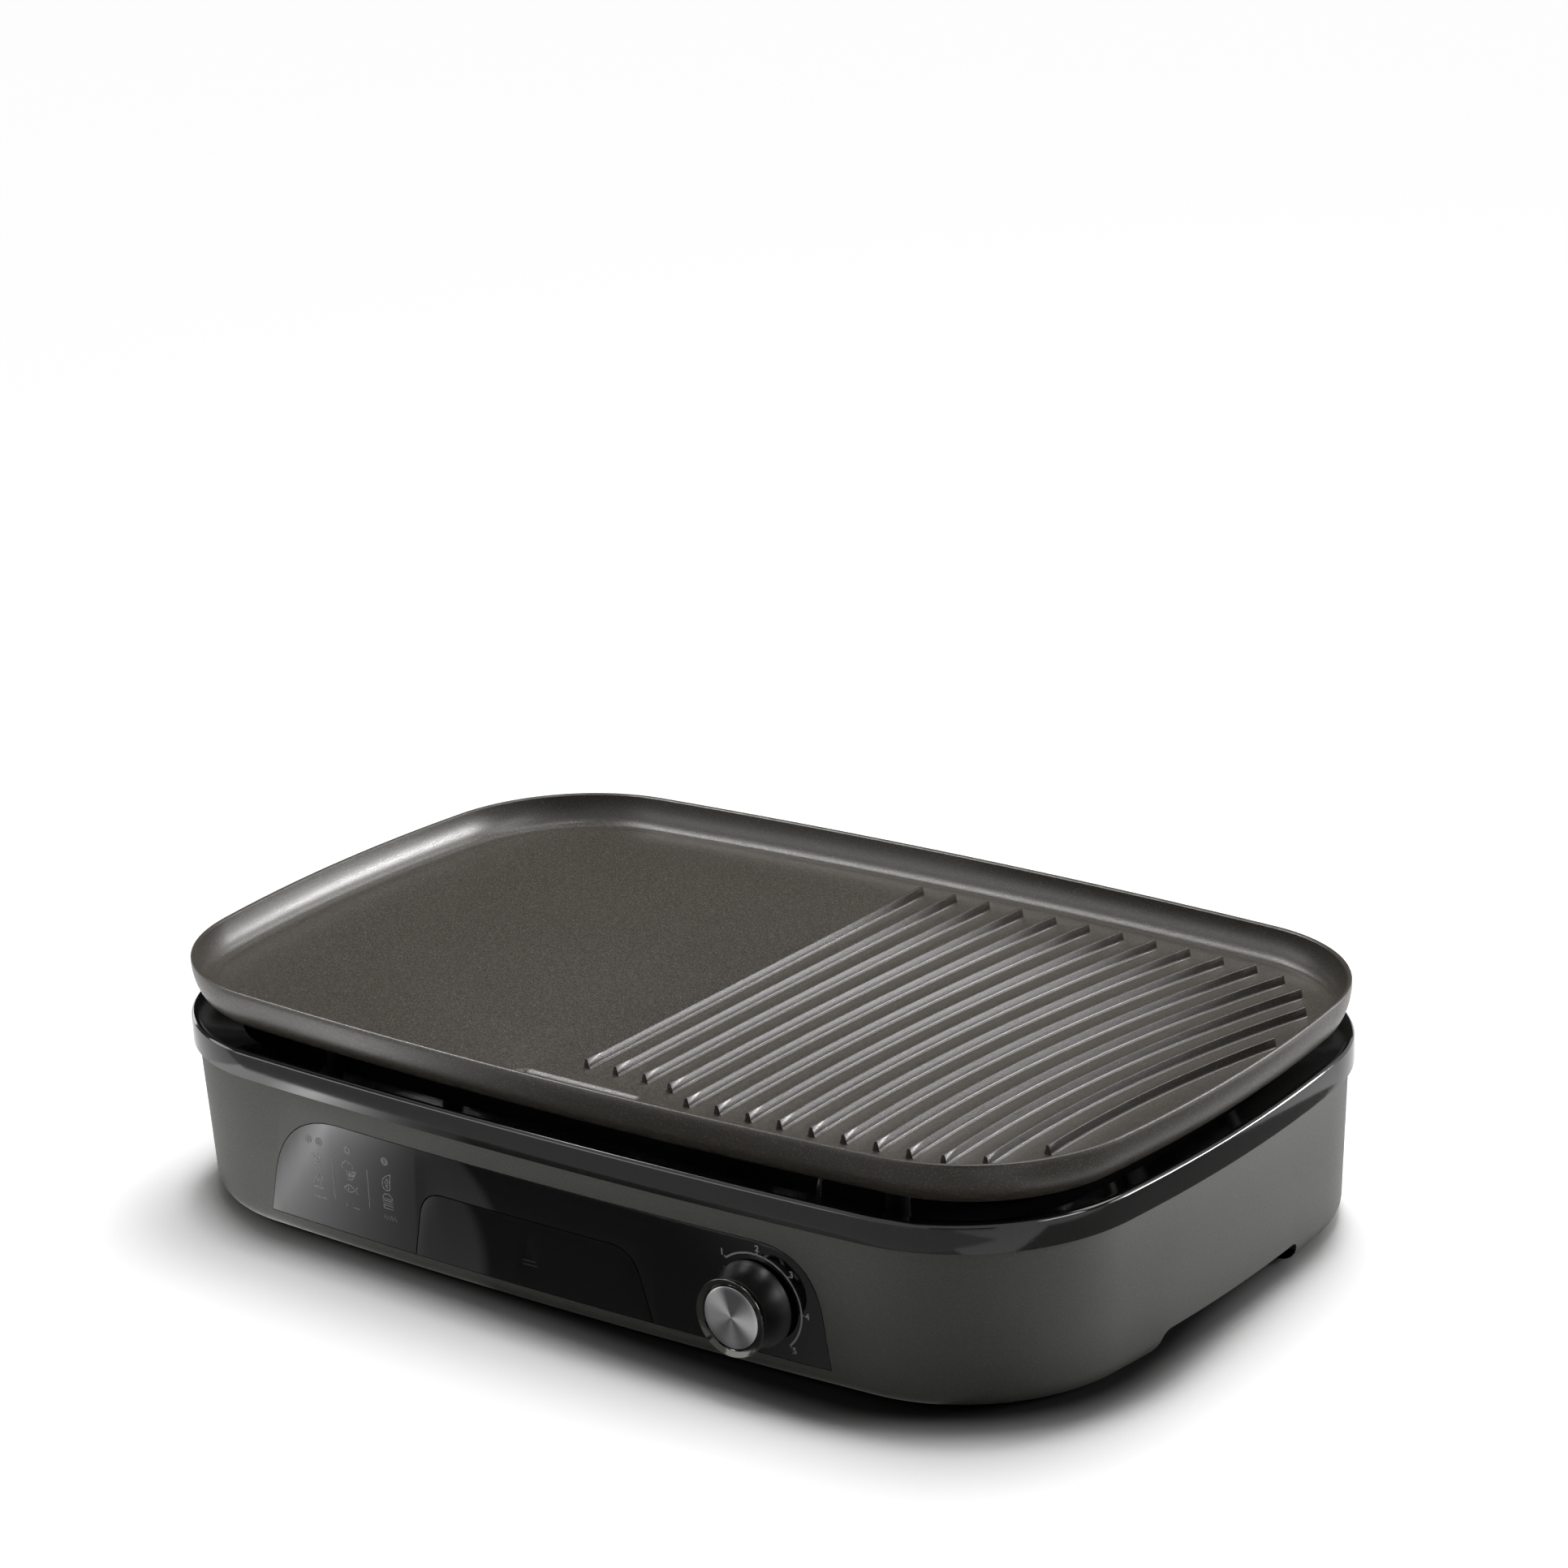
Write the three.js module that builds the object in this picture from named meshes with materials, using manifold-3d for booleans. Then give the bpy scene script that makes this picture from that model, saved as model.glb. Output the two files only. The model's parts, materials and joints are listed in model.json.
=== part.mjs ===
// Electric table grill: a ribbed cast plate over a heated base with a slide-out drip tray.
// Millimetres, +Z up, +X to the user's right, the front faces -Y, the table is z = 0.
import * as THREE from 'three';
import { mergeVertices } from 'three/addons/utils/BufferGeometryUtils.js';
import Module from 'manifold-3d';

const wasm = await Module();
wasm.setup();

// Clearances
const seatGap = 0.3;
const slideGap = 0.6;
const cutOverrun = 4;

// Plan outline of the base: four shallow bows joined by round corners
const basePlan = { halfWidth: 245, halfDepth: 157.5, frontBow: 3090, endBow: 727, corner: 82 };
const bowSteps = 2;
const cornerSteps = 6;
const endSteps = 2;

// Heights above the table
const padHeight = 2;
const bodyBottom = 1.2;
const bodyTop = 71;
const ringHeight = 12.5;
const plateUnderside = 88;
const plateTop = 108;

// Body shell
const wall = 2.5;
const ringOverhang = 2.5;
const sideTaper = Math.tan(THREE.MathUtils.degToRad(3));
const endEdgeRadius = 8;
const frontEdgeRadius = 6;
const lipWidth = 5;
const endLipWidth = 12;
const lipHeight = 3.9;
const flangeWidth = 12;
const flangeThickness = 2.5;
const ledgeDrop = 2.5;
const ledgeInset = 14;
const ledgeThickness = 2.5;

// Raised skirts at the two ends, which let air in and fingers under
const skirtLift = 11;
const skirtFront = -45;
const skirtBack = 52;
const skirtRun = 19;
const skirtBendShares = [0.58, 0.26];
const skirtCorner = 4;
const skirtPocketInset = 23.5;
const skirtWall = 2;

// Front panel, drawn as seen from the front
const panelCentre = -8;
const panelBottom = 9.6;
const panelTop = 60;
const panelHalfWidthLow = 151;
const panelLeftHigh = 144;
const panelLeftCorner = 24;
const panelRightHigh = 147;
const panelRightCorner = 27;
const panelThickness = 3;
const panelBacking = 2.5;
const panelRim = 2.2;

// Drip tray
const trayCentre = -9.5;
const trayFrontHalfLow = 64;
const trayFrontHalfHigh = 58.5;
const trayFrontTop = 41;
const trayCorner = 9;
const trayHalfWidth = 54;
const trayBottom = 13;
const trayHeight = 20;
const trayBackMargin = 7.5;
const trayDepth = basePlan.halfDepth - trayBackMargin;
const trayWall = 1.8;
const trayDraft = 2.5;
const trayFlange = 3;
const trayFlangeThickness = 1.8;
const trayInnerCorner = 10;
const triangleHalfWidth = 4;
const triangleHeight = 8.3;
const symbolDepth = 0.4;
const symbolBar = 0.7;
const symbolGap = 1.2;

// Drip tray rails
const railThickness = 2;
const railShelf = 3;
const railBackMargin = 36.5;
const railLength = basePlan.halfDepth - railBackMargin;

// Trim ring
const ringChamfer = 1.2;
const ringLand = 2.6;
const ringSlopeInset = 22;
const ringSlopeDrop = 7.5;
const ringWall = 2.5;
const ringFoot = 6;

// Well liner under the plate
const linerSheet = 1.5;
const linerFlangeInset = 8;
const linerRimInset = 26;
const linerFloorInset = 36;
const linerFloor = 56.5;
const linerWallRise = 12.3;
const dripLength = 66;
const dripWidth = 10;
const dripMargin = 43.5;
const dripCentreY = dripMargin - basePlan.halfDepth;
const spoutWall = 1.5;
const spoutDrop = 10;
const leadHole = 5.6;

// Reflector
const reflectorEndMargin = 50;
const reflectorSideMargin = 61.5;
const reflectorPlan = {
  halfWidth: basePlan.halfWidth - reflectorEndMargin,
  halfDepth: basePlan.halfDepth - reflectorSideMargin,
  frontBow: 2400,
  endBow: 700,
  corner: 50,
};
const reflectorSheet = 0.9;
const reflectorEdgeInset = 7;
const reflectorRise = 8;
const reflectorHoleRadius = 7.5;

// Heating element: one round tube bent into a double loop
const elementRadius = 3.4;
const elementSides = 8;
const elementHeight = 80.5;
const elementEndMargin = 67;
const elementHalfLength = basePlan.halfWidth - elementEndMargin;
const elementReturnRun = 78;
const elementReturn = elementHalfLength - elementReturnRun;
const elementCentreY = 8;
const elementSideMargin = 79.5;
const elementOuter = basePlan.halfDepth - elementSideMargin;
const elementInner = elementOuter / 3;
const elementBendSlack = 2;
const elementBend = (elementOuter - elementInner) / 2 - elementBendSlack;
const elementLeadRun = 28;
const elementLeadX = elementHalfLength - elementLeadRun;
const elementLeadHalf = 14;
const elementLeadBend = 11;
const elementLeadBottom = 46;
const bendSteps = 4;
const bushingRadius = 5.2;
const bushingHeadRadius = 6.6;
const bushingHead = 2;
const bushingLength = 6;

// Element clips and plate supports
const clipShare = 0.6325;
const clipX = elementHalfLength * clipShare;
const clipWidth = 11;
const clipThickness = 3;
const supportEndMargin = 95;
const supportX = basePlan.halfWidth - supportEndMargin;
const supportSideMargin = 48.5;
const supportY = basePlan.halfDepth - supportSideMargin;
const supportRadius = 5;
const supportTipRadius = 3.4;
const supportTip = 5;
const supportSteps = 12;

// Thermostat, its sensor and its capillary tube
const dialShare = 0.44408;
const dialX = basePlan.halfWidth * dialShare;
const dialZ = 32;
const thermostatWidth = 34;
const thermostatDepth = 25;
const thermostatHeight = 34;
const thermostatEdge = 2.5;
const bracketWidth = 46;
const bracketHeight = 40;
const bracketSheet = 1.5;
const sensorRadius = 2.8;
const sensorLength = 60;
const sensorX = 50;
const sensorY = elementCentreY - (elementOuter + elementInner) / 2;
const sensorClipWidth = 12;
const capillaryRadius = 1.1;
const capillaryBend = 7;
const capillaryRise = 71.5;
const capillaryMargin = 50.5;
const capillaryRunY = capillaryMargin - basePlan.halfDepth;

// Control knob
const knobBaseRadius = 19;
const knobNeckRadius = 15.8;
const knobRimRadius = 17;
const knobLength = 16;
const knobRimLength = 3;
const knobRimBore = 13.9;
const knobCapRadius = 13.5;
const knobCapRecess = 0.8;
const knobCapCrown = 0.35;
const knobCapThickness = 1.6;
const knobStandOff = 0.9;
const knobSteps = 28;
const knobSocketWall = 1.6;
const notchWidth = 2.2;
const notchAngle = THREE.MathUtils.degToRad(224.5);
const shaftRadius = 3;
const shaftFlat = 0.9;
const shaftHoleRadius = 3.8;
const socketDepth = 11;
const shaftInBody = 1;

// Cast grill plate
const platePlan = { halfWidth: 245, halfDepth: 154, frontBow: 2361, endBow: 646, corner: 75.7 };
const plateFlare = 12;
const lipThickness = 1.9;
const lipRound = 0.6;
const dishDepth = 15;
const dishFlare = 6.2;
const dishCrease = 1.6;
const plateWallSteps = 4;

// Cooking ribs: parallel at the front, fanning out towards the back
const ribCount = 15;
const firstRibX = -9.7;
const ribPitch = 15.35;
const ribFanStart = -75;
const ribFanLength = 14800;
const ribHeight = 4.1;
const ribCrestHalf = 0.65;
const ribFootHalf = 1.45;
const ribFilletHalf = 2.2;
const ribFilletHeight = 0.9;
const ribFilletLip = 0.15;
const ribRoot = 0.5;
const ribMarginBack = 19.8;
const ribMarginFront = 33.7;
const ribSlotClear = 15.5;
const ribSlotReach = 40;
const ribSteps = 5;

// Drain slot at the front of the plate
const slotCentreX = -1.5;
const slotMargin = 28;
const slotCentreY = slotMargin - platePlan.halfDepth;
const slotLength = 62;
const slotWidth = 6.4;
const slotBevel = 2.4;
const slotSteps = 6;

// Base plate and what is fixed to it
const basePlateThickness = 2.4;
const ventLength = 46;
const ventWidth = 5;
const ventPitch = 12;
const ventRows = 6;
const ventCentreX = 130;
const ventSteps = 3;
const padRadius = 10;
const padEndMargin = 58;
const padX = basePlan.halfWidth - padEndMargin;
const padSideMargin = 53;
const padY = basePlan.halfDepth - padSideMargin;
const padSteps = 16;
const screwEndMargin = 95;
const screwX = basePlan.halfWidth - screwEndMargin;
const screwBackX = 0;
const screwInset = 8;
const screwRadius = 1.5;
const screwHole = 1.9;
const screwHeadRadius = 3.2;
const screwHeadHeight = 1.5;
const screwLength = 5.6;
const screwSteps = 10;

// Mains entry at the back
const glandEndMargin = 95;
const glandX = basePlan.halfWidth - glandEndMargin;
const glandZ = 30;
const glandBore = 4.2;
const glandBarrel = 8;
const glandFlange = 11.5;
const glandFlangeThickness = 3;
const glandReach = 11;
const glandNutThickness = 4;
const glandStandOff = 1.6;
const glandSteps = 16;
const terminalWidth = 34;
const terminalDepth = 16;
const terminalHeight = 15;
const terminalMargin = 46.5;
const terminalY = basePlan.halfDepth - terminalMargin;
const terminalWell = 3;
const terminalWellRadius = 2;
const terminalPitch = 10;
const wireRadius = 1.5;
const wireSides = 6;
const wireSteps = 14;

// Finishes
const finish = (color, roughness, metalness) =>
  new THREE.MeshStandardMaterial({ color, roughness, metalness });
const bodyPlastic = finish('#484a45', 0.62, 0.1);
const glossBlack = finish('#15171a', 0.12, 0);
const smokeTrim = finish('#232522', 0.15, 0.2);
const linerBlack = finish('#0d0e0e', 0.4, 0.1);
const coatedCast = finish('#3b3834', 0.5, 0.35);
const brightSteel = finish('#b9babb', 0.28, 1);
const spunSteel = finish('#9b9c9d', 0.3, 1);
const darkChrome = finish('#5b5a56', 0.2, 0.9);
const knobBlack = finish('#121312', 0.35, 0);
const elementSteel = finish('#4b4946', 0.5, 0.8);
const coverBlack = finish('#1b1c1c', 0.7, 0);
const rubberBlack = finish('#161616', 0.9, 0);
const ceramicWhite = finish('#d9d5ca', 0.6, 0);
const zincSteel = finish('#a8aaab', 0.4, 0.9);
const switchGrey = finish('#8b8b86', 0.6, 0.1);
const trayBlack = finish('#202120', 0.45, 0);
const wireRed = finish('#8a1f1b', 0.6, 0);
const wireBlue = finish('#1d3f7d', 0.6, 0);
const wireBrown = finish('#56351f', 0.6, 0);

// Booleans
function solid(geometry) {
  const bare = geometry.clone();
  bare.deleteAttribute('normal');
  bare.deleteAttribute('uv');
  const merged = mergeVertices(bare);
  return new wasm.Manifold(new wasm.Mesh({
    numProp: 3,
    vertProperties: new Float32Array(merged.attributes.position.array),
    triVerts: new Uint32Array(merged.index.array),
  }));
}

function geometryOf(manifold) {
  const mesh = manifold.getMesh();
  const geometry = new THREE.BufferGeometry();
  geometry.setAttribute('position', new THREE.BufferAttribute(new Float32Array(mesh.vertProperties), 3));
  geometry.setIndex(new THREE.BufferAttribute(new Uint32Array(mesh.triVerts), 1));
  geometry.computeVertexNormals();
  return geometry;
}

// A skin over a row of rings that all have the same number of points, closed by
// end caps or, for a hoop, by joining the last ring to the first.
function skin(rings, hoop = false) {
  const count = rings[0].length;
  const points = rings.flat();
  const faces = [];
  const spans = hoop ? rings.length : rings.length - 1;
  for (let i = 0; i < spans; i += 1) {
    const here = i * count;
    const next = ((i + 1) % rings.length) * count;
    for (let j = 0; j < count; j += 1) {
      const k = (j + 1) % count;
      faces.push(here + j, here + k, next + k, here + j, next + k, next + j);
    }
  }
  if (!hoop) {
    const last = (rings.length - 1) * count;
    const middle = (ring) => ring.reduce((sum, p) => sum.add(p), new THREE.Vector3()).divideScalar(count);
    points.push(middle(rings[0]), middle(rings[rings.length - 1]));
    for (let j = 0; j < count; j += 1) {
      const k = (j + 1) % count;
      faces.push(points.length - 2, k, j, points.length - 1, last + j, last + k);
    }
  }
  const geometry = new THREE.BufferGeometry().setFromPoints(points);
  geometry.setIndex(faces);
  geometry.computeVertexNormals();
  return geometry;
}

// The plan outline moved in by insetX at the ends and insetY at the front and back
function cornerCentre(plan) {
  const { halfWidth: a, halfDepth: b, frontBow, endBow, corner } = plan;
  const bow = new THREE.Vector2(0, b - frontBow);
  const end = new THREE.Vector2(a - endBow, 0);
  const bowReach = frontBow - corner;
  const endReach = endBow - corner;
  const line = end.clone().sub(bow);
  const gap = line.length();
  const along = (bowReach ** 2 - endReach ** 2 + gap ** 2) / (2 * gap);
  const across = Math.sqrt(bowReach ** 2 - along ** 2);
  line.divideScalar(gap);
  const centre = bow.clone().addScaledVector(line, along);
  centre.add(new THREE.Vector2(line.y, -line.x).multiplyScalar(across));
  return { bow, end, centre };
}

function movedIn(plan, insetX, insetY) {
  return {
    halfWidth: plan.halfWidth - insetX,
    halfDepth: plan.halfDepth - insetY,
    frontBow: plan.frontBow - insetY,
    endBow: plan.endBow - insetX,
    corner: plan.corner - Math.min(insetX, insetY),
  };
}

function outline(plan) {
  const { bow, end, centre } = cornerCentre(plan);
  const endAngle = centre.clone().sub(end).angle();
  const bowAngle = centre.clone().sub(bow).angle();
  const quarter = [];
  const arc = (middle, radius, from, to, steps) => {
    for (let i = 0; i < steps; i += 1) {
      const angle = from + ((to - from) * i) / steps;
      quarter.push(new THREE.Vector2(radius, 0).rotateAround(new THREE.Vector2(), angle).add(middle));
    }
  };
  arc(end, plan.endBow, 0, endAngle, endSteps);
  arc(centre, plan.corner, endAngle, bowAngle, cornerSteps);
  arc(bow, plan.frontBow, bowAngle, Math.PI / 2, bowSteps);
  const back = new THREE.Vector2(0, plan.halfDepth);
  const inner = quarter.slice(1);
  const flip = (list, x, y) => list.map((p) => new THREE.Vector2(p.x * x, p.y * y));
  return [
    ...quarter, back, ...flip(inner.slice().reverse(), -1, 1),
    new THREE.Vector2(-plan.halfWidth, 0), ...flip(inner, -1, -1),
    new THREE.Vector2(0, -plan.halfDepth), ...flip(inner.slice().reverse(), 1, -1),
  ];
}

// A loft of plan outlines; each row gives the end inset, the front inset and the height
function loft(plan, rows, hoop = false) {
  const rings = rows.map(([insetX, insetY, z]) =>
    outline(movedIn(plan, insetX, insetY)).map((p) => new THREE.Vector3(p.x, p.y, z)));
  return skin(rings, hoop);
}

const even = (rows) => rows.map(([inset, z]) => [inset, inset, z]);

// Straight solids
function uprightBox(width, depth, height, x, y, bottom) {
  return new THREE.BoxGeometry(width, depth, height).translate(x, y, bottom + height / 2);
}

function uprightCylinder(lowRadius, highRadius, height, x, y, bottom, steps) {
  return new THREE.CylinderGeometry(highRadius, lowRadius, height, steps)
    .rotateX(Math.PI / 2).translate(x, y, bottom + height / 2);
}

function revolved(profile, steps) {
  return new THREE.LatheGeometry(profile.map(([r, h]) => new THREE.Vector2(r, h)), steps);
}

function frontPrism(shape, frontY, backY) {
  return new THREE.ExtrudeGeometry(shape, { depth: backY - frontY, bevelEnabled: false, curveSegments: 8 })
    .rotateX(Math.PI / 2).translate(0, backY, 0);
}

function upPrism(shape, bottom, height, curveSegments) {
  return new THREE.ExtrudeGeometry(shape, { depth: height, bevelEnabled: false, curveSegments })
    .translate(0, 0, bottom);
}

function stadium(x, y, length, width) {
  const shape = new THREE.Shape();
  const half = length / 2 - width / 2;
  shape.absarc(x + half, y, width / 2, -Math.PI / 2, Math.PI / 2);
  shape.absarc(x - half, y, width / 2, Math.PI / 2, (3 * Math.PI) / 2);
  return shape;
}

// Tubes follow straight legs joined by round bends
class StationCurve extends THREE.Curve {
  constructor(stations) {
    super();
    this.stations = stations;
  }

  getPoint(t, target = new THREE.Vector3()) {
    const place = t * (this.stations.length - 1);
    const from = Math.min(Math.floor(place), this.stations.length - 2);
    return target.lerpVectors(this.stations[from], this.stations[from + 1], place - from);
  }

  getPointAt(u, target) {
    return this.getPoint(u, target);
  }

  getTangentAt(u, target = new THREE.Vector3()) {
    const step = 1 / (this.stations.length - 1);
    const ahead = this.getPoint(Math.min(u + step, 1));
    return target.copy(ahead).sub(this.getPoint(Math.max(u - step, 0))).normalize();
  }
}

function bentRoute(corners, radii) {
  const route = [corners[0]];
  for (let i = 1; i < corners.length - 1; i += 1) {
    const arrive = corners[i].clone().sub(corners[i - 1]).normalize();
    const leave = corners[i + 1].clone().sub(corners[i]).normalize();
    const turn = arrive.angleTo(leave);
    const reach = radii[i - 1] * Math.tan(turn / 2);
    const start = corners[i].clone().addScaledVector(arrive, -reach);
    const inward = leave.clone().addScaledVector(arrive, -leave.dot(arrive)).normalize();
    const centre = start.clone().addScaledVector(inward, radii[i - 1]);
    for (let s = 0; s <= bendSteps; s += 1) {
      const angle = (turn * s) / bendSteps;
      route.push(centre.clone().addScaledVector(inward, -radii[i - 1] * Math.cos(angle))
        .addScaledVector(arrive, radii[i - 1] * Math.sin(angle)));
    }
  }
  route.push(corners[corners.length - 1]);
  return route;
}

function tube(route, radius, sides) {
  const section = new THREE.Shape();
  for (let i = 0; i < sides; i += 1) {
    const angle = (2 * Math.PI * i) / sides;
    const [x, y] = [radius * Math.cos(angle), radius * Math.sin(angle)];
    if (i === 0) section.moveTo(x, y);
    else section.lineTo(x, y);
  }
  section.closePath();
  return new THREE.ExtrudeGeometry(section, {
    steps: route.length - 1, extrudePath: new StationCurve(route), bevelEnabled: false,
  });
}

// Body: the outer surface at a depth below its skin, used by everything set into it
const edgeRun = (z, radius) => {
  const rise = z - bodyBottom;
  return rise < radius ? radius - Math.sqrt(radius ** 2 - (radius - rise) ** 2) : 0;
};
const taperInset = (z) => ringOverhang + (bodyTop - z) * sideTaper;
const edgeHeights = [0, 0.1, 0.3, 0.5, 1].map((share) => bodyBottom + share * endEdgeRadius);
const skinRow = (z, depth) => [
  taperInset(z) + edgeRun(z, endEdgeRadius) + depth,
  taperInset(z) + edgeRun(z, frontEdgeRadius) + depth,
  z,
];

function bodySolid(depth) {
  return solid(loft(basePlan, [...edgeHeights, bodyTop].map((z) => skinRow(z, depth))));
}

function skinLayer(depth, thickness) {
  const core = [...edgeHeights, bodyTop].map((z) => skinRow(z, depth + thickness));
  core[0][2] -= cutOverrun;
  core[core.length - 1][2] += cutOverrun;
  return bodySolid(depth).subtract(solid(loft(basePlan, core)));
}

const frontSkinY = (x, z) => -basePlan.halfDepth + taperInset(z) + x ** 2 / (2 * basePlan.frontBow);
const prismFront = -basePlan.halfDepth - cutOverrun;
const prismBack = -basePlan.halfDepth + 4 * wall + panelThickness + cutOverrun;

function panelShape(grow) {
  const low = panelHalfWidthLow + grow;
  const left = panelCentre - panelLeftHigh - grow;
  const right = panelCentre + panelRightHigh + grow;
  const bottom = panelBottom - grow;
  const top = panelTop + grow;
  const leftCorner = panelLeftCorner + grow;
  const rightCorner = panelRightCorner + grow;
  const shape = new THREE.Shape();
  shape.moveTo(panelCentre - low, bottom);
  shape.lineTo(panelCentre + low, bottom);
  shape.lineTo(right, top - rightCorner);
  shape.quadraticCurveTo(right, top, right - rightCorner, top);
  shape.lineTo(left + leftCorner, top);
  shape.quadraticCurveTo(left, top, left, top - leftCorner);
  shape.closePath();
  return shape;
}

function trayFrontShape(grow, drop) {
  const lean = (trayFrontHalfLow - trayFrontHalfHigh) / (trayFrontTop - trayCorner - panelBottom);
  const low = trayFrontHalfLow + grow + lean * drop;
  const high = trayFrontHalfHigh + grow;
  const bottom = panelBottom - drop;
  const top = trayFrontTop + grow;
  const corner = trayCorner + grow;
  const shape = new THREE.Shape();
  shape.moveTo(trayCentre - low, bottom);
  shape.lineTo(trayCentre + low, bottom);
  shape.lineTo(trayCentre + high, top - corner);
  shape.quadraticCurveTo(trayCentre + high, top, trayCentre + high - corner, top);
  shape.lineTo(trayCentre - high + corner, top);
  shape.quadraticCurveTo(trayCentre - high, top, trayCentre - high, top - corner);
  shape.closePath();
  return shape;
}

const bayHalfWidth = trayHalfWidth + trayFlange + slideGap;
const bayTop = trayBottom + trayHeight + slideGap;
const bayBottom = trayBottom - slideGap;

const edgeRow = skinRow(bodyBottom, 0);
const lipInset = [edgeRow[0] + endLipWidth, edgeRow[1] + lipWidth];
const lipTop = bodyBottom + lipHeight;
const flangeTop = lipTop + flangeThickness;
const ledgeTop = bodyTop - ledgeDrop;
const ledgeBottom = ledgeTop - ledgeThickness;

function skirtShape(grow) {
  const shape = new THREE.Shape();
  const low = -cutOverrun;
  const front = skirtFront - grow;
  const back = skirtBack + grow;
  const top = skirtLift + grow;
  const [highBend, lowBend] = skirtBendShares;
  shape.moveTo(front - skirtRun, low);
  shape.lineTo(back, low);
  shape.lineTo(back, top - skirtCorner);
  shape.quadraticCurveTo(back, top, back - skirtCorner, top);
  shape.lineTo(front, top);
  shape.bezierCurveTo(
    front - highBend * skirtRun, top,
    front - lowBend * skirtRun, bodyBottom,
    front - skirtRun, bodyBottom,
  );
  shape.closePath();
  return shape;
}

function skirtPrism(grow, side) {
  const inner = basePlan.halfWidth - skirtPocketInset - grow;
  const outer = basePlan.halfWidth + cutOverrun;
  const geometry = new THREE.ExtrudeGeometry(skirtShape(grow), {
    depth: outer - inner, bevelEnabled: false, curveSegments: 6,
  });
  geometry.rotateX(Math.PI / 2).rotateZ(Math.PI / 2).translate(side > 0 ? inner : -outer, 0, 0);
  return solid(geometry);
}

const screwPlaces = [];
for (const y of [-1, 1]) {
  for (const x of [-screwX, screwBackX, screwX]) {
    const bow = x ** 2 / (2 * basePlan.frontBow);
    screwPlaces.push([x, y * (basePlan.halfDepth - lipInset[1] - bow - screwInset)]);
  }
}
const basePlateTop = lipTop - seatGap;
const basePlateBottom = basePlateTop - basePlateThickness;

function bodyShell() {
  const rows = [
    ...[...edgeHeights, bodyTop].map((z) => skinRow(z, 0)),
    skinRow(bodyTop, wall),
    skinRow(ledgeTop, wall),
    [ledgeInset, ledgeInset, ledgeTop],
    [ledgeInset, ledgeInset, ledgeBottom],
    skinRow(ledgeBottom - wall, wall),
    skinRow(flangeTop + wall, wall),
    [lipInset[0] + flangeWidth, lipInset[1] + flangeWidth, flangeTop],
    [lipInset[0] + flangeWidth, lipInset[1] + flangeWidth, lipTop],
    [lipInset[0], lipInset[1], lipTop],
    [lipInset[0], lipInset[1], bodyBottom],
  ];
  let shell = solid(loft(basePlan, rows, true));

  const pocket = panelThickness + seatGap;
  const backing = solid(frontPrism(panelShape(panelRim), prismFront, prismBack))
    .intersect(skinLayer(pocket, panelBacking));
  const rim = solid(frontPrism(panelShape(panelRim), prismFront, prismBack))
    .subtract(solid(frontPrism(panelShape(seatGap), prismFront - cutOverrun, prismBack + cutOverrun)))
    .intersect(skinLayer(0, pocket + panelBacking));
  const opening = solid(frontPrism(panelShape(seatGap), prismFront, prismBack))
    .intersect(skinLayer(-cutOverrun, cutOverrun + pocket));
  shell = shell.add(backing).add(rim).subtract(opening);

  const bay = new THREE.BoxGeometry(2 * bayHalfWidth, prismBack - prismFront, bayTop - bayBottom)
    .translate(trayCentre, (prismFront + prismBack) / 2, (bayTop + bayBottom) / 2);
  const shaftHole = new THREE.CylinderGeometry(
    shaftHoleRadius, shaftHoleRadius, prismBack - prismFront, knobSteps,
  ).translate(dialX, (prismFront + prismBack) / 2, dialZ);
  shell = shell.subtract(solid(bay)).subtract(solid(shaftHole));

  for (const side of [-1, 1]) {
    const shelf = skirtPrism(skirtWall, side).intersect(bodySolid(0));
    shell = shell.add(shelf).subtract(skirtPrism(0, side));
  }

  const glandHole = new THREE.CylinderGeometry(
    glandBarrel + seatGap, glandBarrel + seatGap, 2 * (wall + cutOverrun), glandSteps,
  ).translate(glandX, rearSkinY(glandX, glandZ), glandZ);
  shell = shell.subtract(solid(glandHole));
  for (const [x, y] of screwPlaces) {
    const hole = uprightCylinder(
      screwHole, screwHole, flangeThickness + 2 * cutOverrun, x, y, lipTop - cutOverrun, screwSteps,
    );
    shell = shell.subtract(solid(hole));
  }
  return shell;
}

function frontPanel() {
  const face = solid(frontPrism(panelShape(0), prismFront, prismBack))
    .intersect(skinLayer(0, panelThickness));
  const trayGap = solid(frontPrism(
    trayFrontShape(slideGap, cutOverrun), prismFront - cutOverrun, prismBack + cutOverrun,
  ));
  const shaftHole = new THREE.CylinderGeometry(
    shaftHoleRadius, shaftHoleRadius, prismBack - prismFront, knobSteps,
  ).translate(dialX, (prismFront + prismBack) / 2, dialZ);
  return face.subtract(trayGap).subtract(solid(shaftHole));
}

// Drip tray: a drawn tub with a flange on each long side, and its front cover
const trayBackingY = frontSkinY(trayCentre, trayBottom) + panelThickness + seatGap;
const trayFrontY = trayBackingY + seatGap;

function tubRing(halfWidth, frontY, backY, corner, z) {
  const ring = [];
  const steps = 3;
  const middles = [
    [trayCentre + halfWidth - corner, backY - corner, 0],
    [trayCentre - halfWidth + corner, backY - corner, 1],
    [trayCentre - halfWidth + corner, frontY + corner, 2],
    [trayCentre + halfWidth - corner, frontY + corner, 3],
  ];
  for (const [x, y, quarter] of middles) {
    for (let i = 0; i <= steps; i += 1) {
      const angle = ((quarter + i / steps) * Math.PI) / 2;
      ring.push(new THREE.Vector3(x + corner * Math.cos(angle), y + corner * Math.sin(angle), z));
    }
  }
  return ring;
}

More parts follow.
